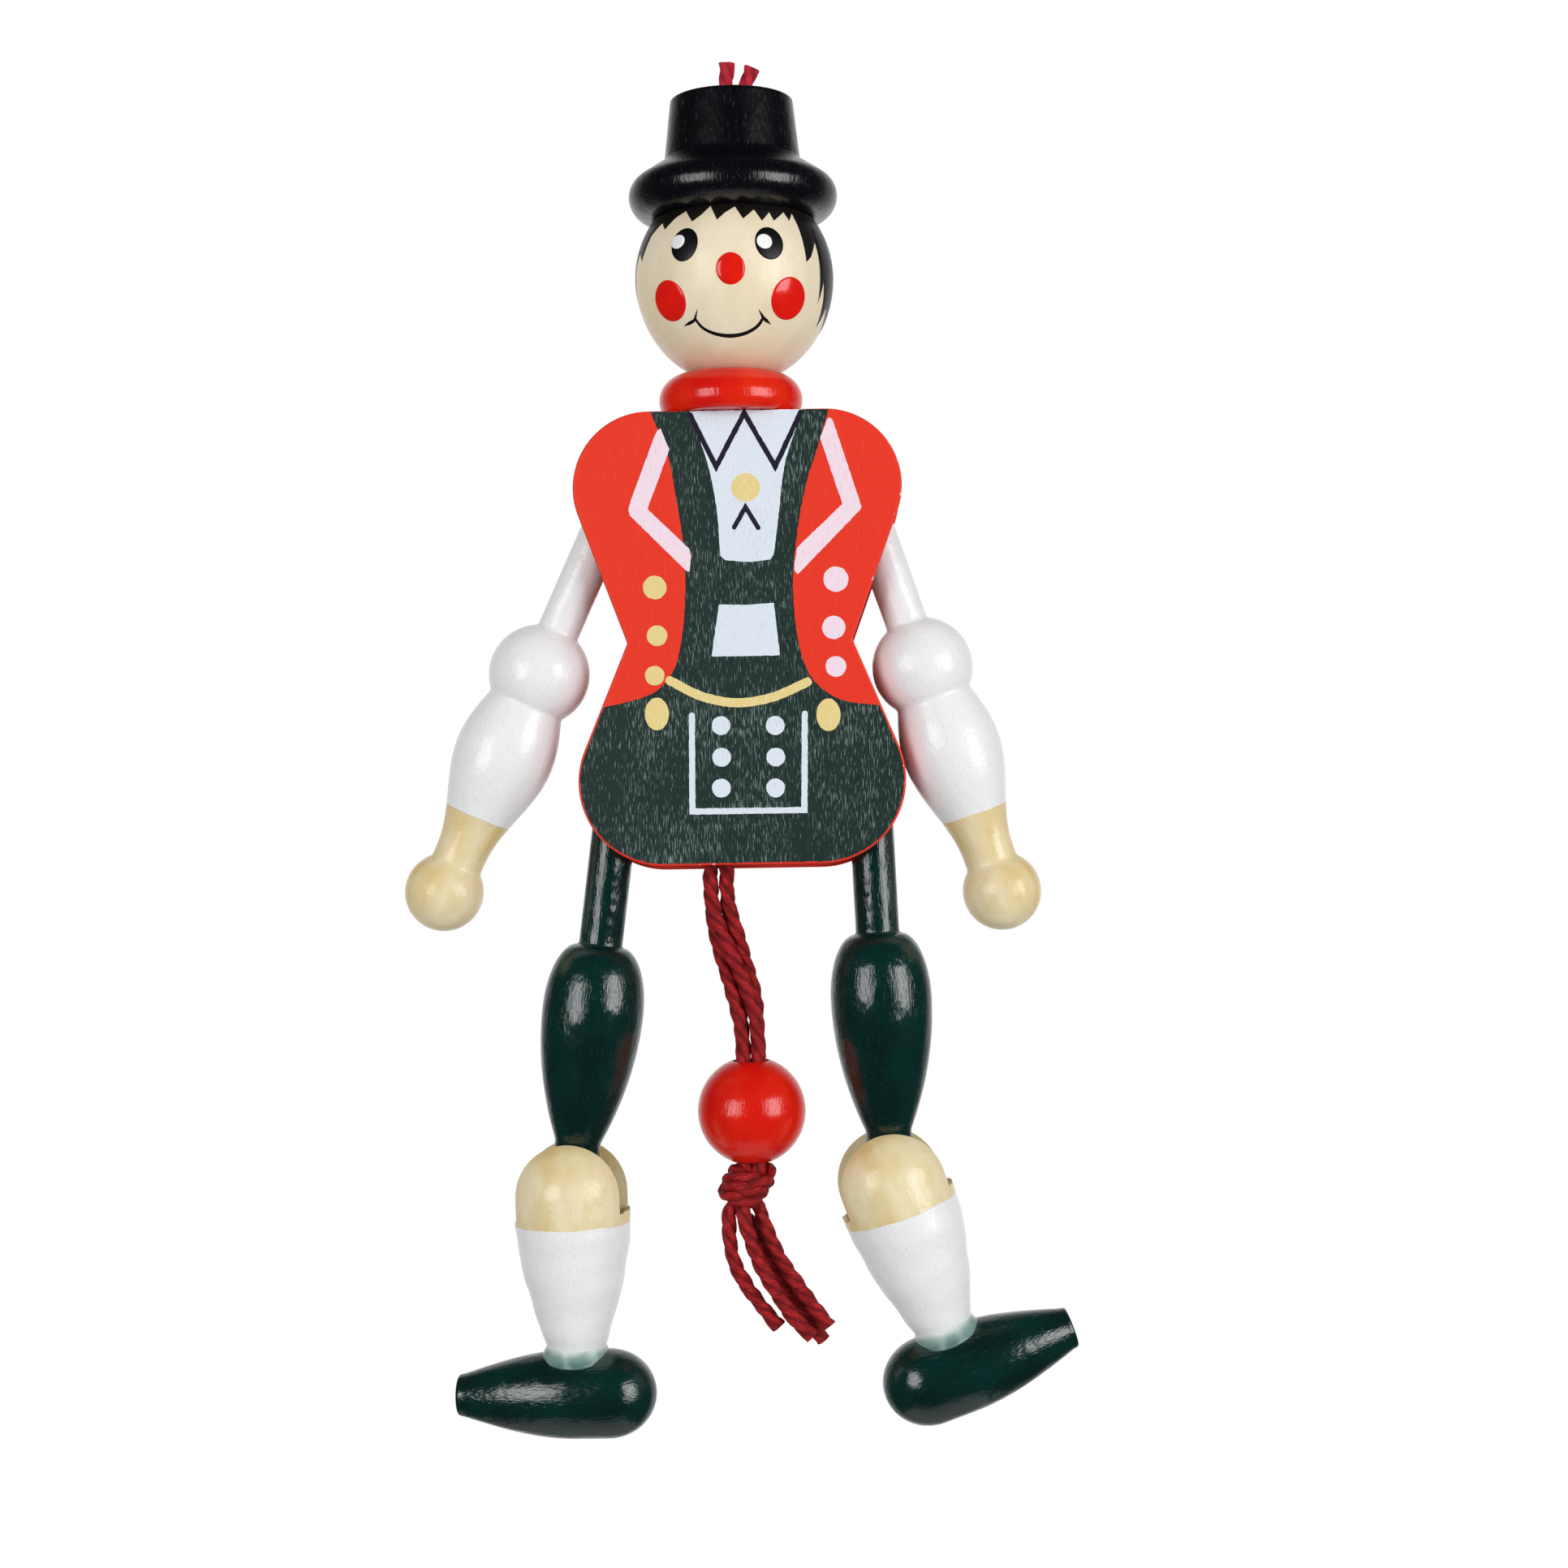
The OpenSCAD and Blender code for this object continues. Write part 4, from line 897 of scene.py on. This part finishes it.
# Seed of the roughness, and height of the ragged lips at the left and the right mouth of the slot
SLOTS = {"left": (4, (0.0, 1.7)), "right": (5, (1.6, 1.5))}
for side, (seed, lips) in SLOTS.items():
    # The pin's hole comes in from behind and ends blind in the front lobe
    cutters = [saw_cut(lips, seed), drill((0, 1.36, 0), Y, 0.82, 15.28)]
    calf = finish_piece(
        side + "_turned_calf", cut_away(dented(spin("calf", calf_profile, 96), seed), cutters), dipped,
        side + "_calf_body", move=hang_at_knee(side),
        bare=lambda p: p[:, 2] - CALF_PAINT_TOP, replaces=[side + "_calf"],
    )
print("calf faces:", len(calf.data.polygons))

# %% Shoes and their glue
TOE_L, SHOE_R, SHOE_DROP = 16.4, 5.95, 26.9
a = np.radians(np.linspace(0, 90, 40))
shoe_profile = soften(np.vstack([
    (0, 0), (2.8, 0),
    swell(0.6, 2.8, TOE_L, SHOE_R, "rise"),
    together(SHOE_R * np.cos(a), -(20.68 + 6.42 * np.sin(a))),
]), 0.3)


def lay_down(p):
    """Turns the spun shoe: its toe points along -X and its axis lies SHOE_DROP below the knee."""
    return together(-p[:, 2] - TOE_L, p[:, 1], p[:, 0] - SHOE_DROP)


glue_outline = np.array([(3.6, -19.8), (4.05, -20.3), (4.35, -21.0), (4.85, -21.9), (3.6, -22.2)])
glue_profile = soften(glue_outline, 0.15, 0.2, closed=True)
for side in SIDES:
    hung = hang_at_knee(side, side == "right")
    lying = spin("shoe", shoe_profile, 96)
    set_points(lying, lay_down(coordinates(lying)))
    mesh = cut_away(lying, [drill((0, 0, -19.17), Z, ANKLE_R + 0.02, 8.1)])
    # The shoe was turned along its toe, so its grain runs along X
    shoe = finish_piece(
        side + "_turned_shoe", mesh, green_lacquer, side + "_calf_body",
        move=hung, made=coordinates(mesh)[:, [Z, Y, X]], replaces=[side + "_shoe"],
    )
    # The glue sags in front and behind, where the shoe's round back falls away, and is a little uneven
    collar = spin("glue", glue_profile, 72, closed=True)
    p = coordinates(collar)
    turn = np.arctan2(p[:, 1], p[:, 0])
    p[:, 2] -= 0.81 * np.abs(np.sin(turn)) ** 1.5 * np.clip((-20.0 - p[:, 2]) / 2, 0, 1)
    p[:, :2] *= (1 + 0.02 * np.sin(5 * turn + p[:, 2]))[:, None]
    set_points(collar, p)
    finish_piece(
        side + "_ankle_glue", collar, glue, side + "_calf_body",
        move=hung, bare=lambda p: (-20.3 - p[:, 2]) / 1.9,
    )
print("shoe faces:", len(shoe.data.polygons))

# %% [markdown]
# ## Boards
# Both boards are cut from the same outline: shoulder and hip curves joined by straight lines at the waist.
# The edge is sanded round by a quarter of a millimetre. Paint is worn here and there along that edge, so
# the material shows a paler red where the attribute bare, which marks the edge, and some noise meet.

# %% Board outline and material
SHOULDER_R, HIP_R = 10.2, 11.2
SHOULDER = np.array([11.7, BODY_TOP - SHOULDER_R])
HIP = np.array([10.6, BODY_BOTTOM + HIP_R])
WAIST = np.array([15.0, BODY_TOP - 30.8])


def touch(centre, radius, turn):
    """Angle in degrees at which the tangent from the waist corner touches a circle: the corner's direction,
    turned by the angle whose cosine is radius / distance."""
    d = WAIST - centre
    return math.degrees(math.atan2(d[1], d[0]) + turn * math.acos(radius / np.linalg.norm(d)))


def body_outline(inset=0.0, n=420):
    """Right half: shoulder arc, waist corner and hip arc, joined by tangents and moved inwards by inset. The
    left half is its mirror image. The loop has n even steps."""
    shoulder = arc(SHOULDER, SHOULDER_R - inset, 90, touch(SHOULDER, SHOULDER_R, 1), 60)
    hip = arc(HIP, HIP_R - inset, touch(HIP, HIP_R, -1), -90, 60)
    half = np.vstack([shoulder, WAIST - [1.07 * inset, 0], hip])
    loop = np.vstack([half, half[::-1] * [-1, 1], half[:1]])
    return even_steps(loop, path_length(loop) / n)[:-1]


worn_board, tree, shader = new_material(
    "red_satin_paint_chipped_edges", Roughness=0.46, IOR=1.5, Specular_IOR_Level=0.3,
)
grain = noise_on_wood(tree, (0.15, 1.0, 2.6), 3.0)
red = mix_colour(tree, stretch(tree, grain, 0.60, 0.72, 0.0, 0.3), "#E83119", "#EC5F42")
chips = combine(tree, "MULTIPLY", noise_on_wood(tree, (0.9, 0.9, 1.6), 3.0, 11.0), stored(tree, "bare"))
paint(tree, shader, stretch(tree, chips, 0.655, 0.67), red, "#F2B0A6")
bump(tree, shader, grain, 0.01)


ROUNDING = ((0.27, 0.0), (0.18, 0.02), (0.08, 0.1), (0.02, 0.19), (0.0, 0.3))


def board(name, face_y, back_y, drop, node):
    """A board between face_y and back_y, lowered by drop, with a rounded edge round its outer face."""
    outward = np.sign(face_y - back_y)
    # Inset, Y and wear of each ring, from the face over the rounded edge to the back
    rows = [(0.6, face_y, 0.0)] + [(inset, face_y - outward * depth, 1.0) for inset, depth in ROUNDING]
    rows += [(0.0, back_y + outward * 0.15, 0.6), (0.15, back_y, 0.6)]
    rings = []
    for inset, y, wear in rows:
        line = body_outline(inset)
        rings.append(together(line[:, 0], y, line[:, 1] - drop, wear))
    points = np.array(rings)
    mesh = make_mesh(name, points[..., :3], tube_faces(*points.shape[:2]), weld=False)
    return finish_piece(
        name, mesh, worn_board, "torso", bare=lambda p: points[..., 3].ravel(), sharp=50,
        replaces=[node],
    )


FACE_Y, INNER_Y, BACK_DROP = -6.3, -3.3, 0.8
front = board("painted_front_board", FACE_Y, INNER_Y, 0.0, "front_board")
board("painted_back_board", -FACE_Y, -INNER_Y, BACK_DROP, "back_board")
print("board faces:", len(front.data.polygons))

# %% [markdown]
# ## The printed costume
# A traditional costume: green waistcoat and breeches, white shirt, red jacket left from the board's own
# paint, pale lapels, buttons and a chain. Each ink is a thin flat piece a few hundredths of a millimetre
# thick, cut to a given outline and laid on the board in the order it was printed.

# %% Flat ink pieces
INK_STEP, INK_LAYER, INK_SUNK = 0.16, 0.012, 0.03


def ink_piece(name, outline, material, layer, rough=0.03, seed=1):
    """A thin plate with the given outline of x and z in mm, whose edge wanders by rough mm. Its front stands
    layer times INK_LAYER before the board's face, its back lies INK_SUNK behind it."""
    line = even_steps(np.vstack([outline, outline[:1]]), INK_STEP)[:-1]
    jitter = np.random.default_rng(seed).normal(0, rough, line.shape)
    x, z = line.T + [np.convolve(np.r_[j[-1], j, j[0]], np.ones(3) / 3, "valid") for j in jitter.T]
    points = [together(x, y, z) for y in (FACE_Y - INK_LAYER * layer, FACE_Y + INK_SUNK)]
    mesh = make_mesh(name, points, tube_faces(2, len(x)), weld=False, halve=True)
    return finish_piece(name, mesh, material, "torso", sharp=30)


def disc(x, z, w, h):
    """An ellipse of width w and height h."""
    a = np.linspace(0, 2 * np.pi, 60, endpoint=False)
    return together(x + w / 2 * np.cos(a), z + h / 2 * np.sin(a))


def buttons(name, material, spots):
    """Round buttons at spots of x, z and width."""
    for k, (x, z, width) in enumerate(spots):
        ink_piece("%s_button_%d" % (name, k), disc(x, z, width, width), material, 2, seed=k)


def stroke(points, width):
    """The outline of a line of the given width along the points, with mitred corners and round ends."""
    p = np.asarray(points, float)
    d = np.diff(p, axis=0)
    d /= np.linalg.norm(d, axis=1)[:, None]
    normal = together(-d[:, 1], d[:, 0])
    corner = normal[:-1] + normal[1:]
    corner = corner / np.sum(corner * corner, axis=1)[:, None] * width
    first, last = (math.degrees(math.atan2(v[1], v[0])) for v in (normal[0], -normal[-1]))
    return np.vstack([
        arc(p[0], width / 2, first, first + 180, 12), p[1:-1] - corner,
        arc(p[-1], width / 2, last, last + 180, 12), (p[1:-1] + corner)[::-1],
    ])


# The green starts at the board's top, narrows at the waist and follows the board's rim below the hips' height
left_edge = smooth_path([
    (-11.4, -42.74), (-9.2, -48.3), (-8.2, -53.9), (-7.3, -60.3), (-7.1, -65.4), (-7.5, -71.4), (-8.6, -76.5),
    (-11.0, -79.7), (-14.5, -81.1), (-18.3, -81.9),
])
right_edge = smooth_path([
    (12.3, -42.74), (10.9, -47.4), (9.1, -52.9), (7.9, -58.9), (7.2, -65.3), (7.4, -70.8), (8.2, -75.5),
    (9.9, -79.0), (13.3, -81.4), (18.5, -82.3),
])
HIP_LINE = -82.1
rim = body_outline(0.28, 700)
lower = rim[rim[:, 1] < HIP_LINE]
lower = lower[np.argsort(np.arctan2(lower[:, 1] - HIP_LINE, lower[:, 0]))]
ink_piece("green_waistcoat_and_breeches", np.vstack([left_edge, lower, right_edge[::-1]]), green_ink, 1, 0.035)
ink_piece("white_shirt", np.vstack([
    smooth_path([(-6.2, -42.73), (-3.9, -49.7), (-2.8, -55.7), (-2.4, -62.0)]),
    smooth_path([(-1.8, -62.6), (1.4, -62.9), (4.3, -62.6)]),
    smooth_path([(4.7, -62.0), (5.4, -57.1), (6.4, -49.9), (8.9, -42.73)]),
]), white_ink, 2)
ink_piece("white_patch", np.array([
    (-2.7, -68.5), (1.0, -68.6), (4.6, -68.4), (5.3, -75.4), (-3.8, -75.4),
]), white_ink, 2)
ink_piece("left_lapel", np.array([
    (-10.06, -44.96), (-10.5, -45.25), (-11.03, -46.36), (-14.1, -54.3), (-14.54, -55.7), (-14.26, -56.54),
    (-7.0, -63.9), (-6.56, -64.14), (-6.26, -61.98), (-6.54, -61.0), (-12.0, -55.64), (-8.94, -47.84),
]), pink_ink, 2)
ink_piece("right_lapel", np.array([
    (12.1, -44.1), (12.44, -43.86), (12.86, -44.28), (16.24, -55.02), (16.47, -55.86), (16.3, -56.25),
    (15.82, -56.7), (7.86, -64.68), (7.35, -64.0), (7.78, -61.16), (13.94, -55.4), (11.14, -46.64),
]), pink_ink, 2)
collar = [(-6.1, -43.2), (-2.75, -50.2), (1.1, -43.1), (5.1, -50.3), (8.6, -43.1)]
ink_piece("collar_line", stroke(collar, 0.68), navy_ink, 3)
ink_piece("shirt_fold_line", stroke([(-0.5, -58.3), (1.05, -55.6), (2.7, -58.4)], 0.62), navy_ink, 3)
ink_piece("brooch", disc(1.1, -53.0, 3.8, 3.8), gold_ink, 3)
buttons("left", gold_ink, [(-11.2, -66.1, 3.15), (-11.0, -72.5, 2.75), (-11.4, -77.8, 2.6)])
buttons("right", pink_ink, [(12.9, -65.4, 3.35), (12.5, -71.8, 3.1), (12.7, -77.0, 2.75)])
chain = smooth_path([(-9.4, -78.5), (-5.1, -80.7), (-0.4, -81.6), (4.3, -80.9), (8.9, -79.0)])
ink_piece("watch_chain", stroke(chain, 1.2), gold_ink, 3)
ink_piece("left_knob", disc(-11.2, -82.9, 3.2, 4.35), gold_ink, 3)
ink_piece("right_knob", disc(11.6, -83.4, 3.2, 4.35), gold_ink, 3)
flap = [(-6.55, -83.2), (-6.7, -95.95), (8.2, -96.0), (8.45, -83.2)]
ink_piece("breeches_flap", stroke(flap, 0.8), white_ink, 2)
buttons("flap", white_ink, [
    (-2.7, -84.6, 2.5), (-2.7, -88.8, 2.5), (-2.8, -92.9, 2.5),
    (4.5, -84.7, 2.5), (4.5, -88.9, 2.5), (4.4, -93.0, 2.5),
])

# %% [markdown]
# ## Face and hair
# Eyes, cheeks and nose are drops of thick enamel, which stand proud of the ball and catch the lamps. The
# smile is a thin ink line, and the hair is black ink brushed on with a zigzag edge that runs round the head.

# %% Points on the head
def toward(azimuth, elevation):
    """Unit vector at angles in degrees: azimuth 0 is the front (-Y) and grows to the viewer's right."""
    a, e = np.radians(azimuth), np.radians(elevation)
    return together(np.cos(e) * np.sin(a), -np.cos(e) * np.cos(a), np.sin(e))


def onto_head(ray, lift):
    """The head's surface at the ray's height and azimuth, moved out by lift along the surface's normal.
    Below its middle the head is an ellipsoid: x^2 / R^2 + y^2 / R^2 + z^2 / drop^2 = 1."""
    z = HEAD_R * ray[..., 2]
    half = np.where(z < 0, HEAD_DROP, HEAD_R)
    flat = HEAD_R * np.sqrt(1 - (z / half) ** 2)
    level = ray[..., :2] / np.linalg.norm(ray[..., :2], axis=-1, keepdims=True)
    point = np.concatenate([level * flat[..., None], z[..., None]], -1)
    normal = point / together(HEAD_R ** 2, HEAD_R ** 2, half ** 2)
    normal /= np.linalg.norm(normal, axis=-1, keepdims=True)
    return point + normal * np.asarray(lift)[..., None] + [0, 0, HEAD_Z]


DROP_ROWS, DROP_SIDES = 22, 64


def enamel_drop(name, azimuth, elevation, half_w, half_h, height, material, base=0.0):
    """An elliptical drop on the ball: at share q of the way to its rim it stands height (1 - q^4)^(1/2) above
    the ball, or above a lower drop whose height is base."""
    mid = toward(azimuth, elevation)
    right = np.cross([0, 0, 1.0], mid)
    right /= np.linalg.norm(right)
    up = np.cross(mid, right)
    q = np.linspace(0, 1, DROP_ROWS)[:, None]
    a = np.linspace(0, 2 * np.pi, DROP_SIDES, endpoint=False)
    x, y = q * half_w * np.cos(a) / HEAD_R, q * half_h * np.sin(a) / HEAD_R
    ray = mid + np.tan(x)[..., None] * right + np.tan(y)[..., None] * up
    ray /= np.linalg.norm(ray, axis=-1)[..., None]
    lift = base + height * np.sqrt(1 - q ** 4) - 0.03 * (q >= 1)
    points = np.concatenate([onto_head(ray, lift), onto_head(ray[::-1], -0.1)])
    mesh = make_mesh(name, points, grid_faces(2 * DROP_ROWS, DROP_SIDES))
    return finish_piece(name, mesh, material, "head_and_hat", sharp=70)


enamel_drop("left_eye", -28.8, 10.7, 2.05, 2.35, 0.1, black_dot)
enamel_drop("right_eye", 21.7, 10.0, 2.02, 2.28, 0.1, black_dot)
enamel_drop("left_eye_glint", -33.0, 12.6, 1.08, 0.98, 0.08, white_dot, 0.09)
enamel_drop("right_eye_glint", 18.7, 10.6, 1.06, 1.03, 0.08, white_dot, 0.09)
enamel_drop("nose", -1.1, -4.9, 1.92, 2.13, 0.22, red_dot)
enamel_drop("left_cheek", -42.2, -19.9, 2.75, 2.82, 0.2, red_dot)
enamel_drop("right_cheek", 35.6, -20.5, 2.7, 2.92, 0.2, red_dot)


# Section of a brushed line: share of its half width, and height above the ball in mm
RIBBON = ((-1, 0.0), (-0.7, 0.035), (0, 0.045), (0.7, 0.035), (1, 0.0), (0.7, -0.06), (-0.7, -0.06))


def brush_line(name, stops, widths):
    """A thin ribbon on the ball along stops of azimuth and elevation, as wide as widths in mm say."""
    ray = toward(*smooth_path(stops, 0.5).T)
    across = np.cross(ray, np.gradient(ray, axis=0))
    across /= np.linalg.norm(across, axis=1)[:, None]
    half = np.interp(np.linspace(0, 1, len(ray)), np.linspace(0, 1, len(widths)), widths) / 2
    q, lift = np.array(RIBBON).T
    points = onto_head(ray[:, None], lift) + across[:, None] * (half[:, None] * q)[..., None]
    mesh = make_mesh(name, points, tube_faces(len(ray), len(RIBBON)))
    return finish_piece(name, mesh, black_dot, "head_and_hat", sharp=70)


brush_line("smile", [
    (-26.2, -32.0), (-22.2, -38.1), (-14.3, -42.5), (-3.3, -44.5), (7.8, -43.0), (16.2, -38.3), (20.2, -31.8),
], (0.36, 0.52, 0.68, 0.55, 0.4))
DIMPLE_WIDTHS = (0.06, 0.36, 0.5, 0.06)
brush_line("left_dimple", [(-23.1, -26.8), (-25.0, -30.2), (-27.5, -33.2), (-36.3, -35.7)], DIMPLE_WIDTHS)
brush_line("right_dimple", [(16.1, -27.9), (18.2, -30.6), (20.6, -33.2), (26.0, -36.4)], DIMPLE_WIDTHS)

# Azimuth and elevation of the hair's zigzag edge, and the elevation at which the hair starts under the hat
HAIR_EDGE = np.array([
    (-180, -36), (-168, -30), (-158, -38), (-146, -29), (-136, -36), (-124, -26), (-114, -32), (-104, -18),
    (-96, -24), (-90, -8), (-85, -12), (-80, 4), (-74, 12), (-67, 6), (-63.6, 12.6), (-60, 20.6), (-51.7, 27.2),
    (-46.3, 21.7), (-39.8, 28.6), (-32.6, 32.6), (-25.5, 23.9), (-19.8, 28.3), (-14.6, 34.5), (-9.2, 23.7),
    (-4.2, 28.8), (2.1, 33.2), (6.9, 24.1), (14.7, 31.0), (18.7, 23.0), (25, 29.6), (26.7, 23.6), (36.3, 31.0),
    (38.5, 25.0), (43.5, 31.0), (44.6, 21.2), (45.4, 10.7), (46.4, 0.3), (50.6, 3.7), (57.0, 13.7), (58.6, 3.1),
    (60.0, -10.4), (61.6, -22.5), (64.6, -9.0), (68.0, -20.0), (71.9, -36.6), (77.0, -22.0), (82, -30), (90, -38),
    (98, -28), (108, -37), (120, -27), (134, -38), (146, -30), (160, -38), (170, -31), (180, -36),
])
HAIR_TOP = 58
azimuth = np.union1d(HAIR_EDGE[:, 0], np.linspace(-180, 180, 721))[:-1]
down = np.linspace(0, 1, 16)[:, None]
rays = toward(azimuth, HAIR_TOP + (np.interp(azimuth, *HAIR_EDGE.T) - HAIR_TOP) * down)
shell = np.concatenate([onto_head(rays, np.where(down >= 1, -0.02, 0.055)), onto_head(rays[::-1], -0.12)])
hair_mesh = make_mesh("hair", shell, grid_faces(2 * len(down), len(azimuth), close_rows=True))
finish_piece("brushed_hair", hair_mesh, hair_ink, "head_and_hat", sharp=70)
print("hair faces:", len(hair_mesh.polygons))

# %% [markdown]
# ## Solids that stay
# Pins, dowels and the neck block are already the right shape. They only get their finishes.

# %% Finishes of the remaining solids
for name, node in frame["nodes"].items():
    if node.hide_render:
        continue
    finish = steel if "pin" in name else bare_wood
    for place in node.material_slots:
        place.material = finish
    if not node.material_slots:
        node.data.materials.append(finish)
    print("kept solid:", name)

# %% [markdown]
# ## Floor, backdrop and lamps
# Two soft boxes stand left and right of the camera, a little above it: every turned ball shows both as
# window-shaped highlights. The figure hangs well above a pale floor. Behind it is a white backdrop, in front
# of it a darker room, and gloss mirrors both: dark lacquer stays deep in the middle and pale at its rim.

# %% Stage and light
floor_material, tree, shader = new_material("pale_floor", Roughness=0.9, Base_Color=(0.7, 0.7, 0.7, 1.0))
FLOOR_HALF, FLOOR_Z = 350, -800
corners = np.array([(-1, -1), (1, -1), (1, 1), (-1, 1)]) * FLOOR_HALF
floor_mesh = make_mesh("floor", together(*corners.T, FLOOR_Z), [(0, 1, 2, 3)])
set_points(floor_mesh, coordinates(floor_mesh) * MM)
floor_mesh.materials.append(floor_material)
floor = bpy.data.objects.new("floor", floor_mesh)
bpy.context.scene.collection.objects.link(floor)

world = bpy.data.worlds.new("studio")
bpy.context.scene.world = world
world.use_nodes = True
tree = world.node_tree
background = tree.nodes["Background"]
ROOM_LEVEL, MIRRORED_ROOM = 0.42, 0.03
direction = add(tree, "ShaderNodeSeparateXYZ", {0: add(tree, "ShaderNodeTexCoord").outputs["Generated"]})
rays = add(tree, "ShaderNodeLightPath").outputs
mirrored = combine(tree, "MAXIMUM", rays["Is Glossy Ray"], rays["Is Transmission Ray"])
behind = stretch(tree, direction.outputs["Y"], 0.5, 0.95, MIRRORED_ROOM, 1.0)
soft = add(tree, "ShaderNodeMix", {0: mirrored, 2: ROOM_LEVEL, 3: behind}, data_type="FLOAT").outputs[0]
strength = combine(tree, "MAXIMUM", soft, rays["Is Camera Ray"])
background.inputs["Color"].default_value = (1, 1, 1, 1)
tree.links.new(strength, background.inputs["Strength"])

MIDDLE, LAMP_DISTANCE, LAMP_ELEVATION = Vector((0.0, 0.0, -0.09)), 0.75, 8


def soft_box(name, azimuth, width, height, power):
    """A rectangular lamp round the figure's middle, turned towards it: azimuth in degrees, sizes in metres,
    power in watts."""
    away = Vector(toward(azimuth, LAMP_ELEVATION))
    lamp_data = bpy.data.lights.new(name, "AREA")
    lamp_data.shape, lamp_data.size, lamp_data.size_y, lamp_data.energy = "RECTANGLE", width, height, power
    lamp = bpy.data.objects.new(name, lamp_data)
    lamp.location = MIDDLE + away * LAMP_DISTANCE
    lamp.rotation_euler = (-away).to_track_quat("-Z", "Y").to_euler()
    bpy.context.scene.collection.objects.link(lamp)


soft_box("left_soft_box", -38, 0.34, 0.4, 2.15)
soft_box("right_soft_box", 50, 0.4, 0.44, 3.1)
bpy.context.scene.view_settings.view_transform = "Standard"
print("lamps:", len(bpy.data.lights))
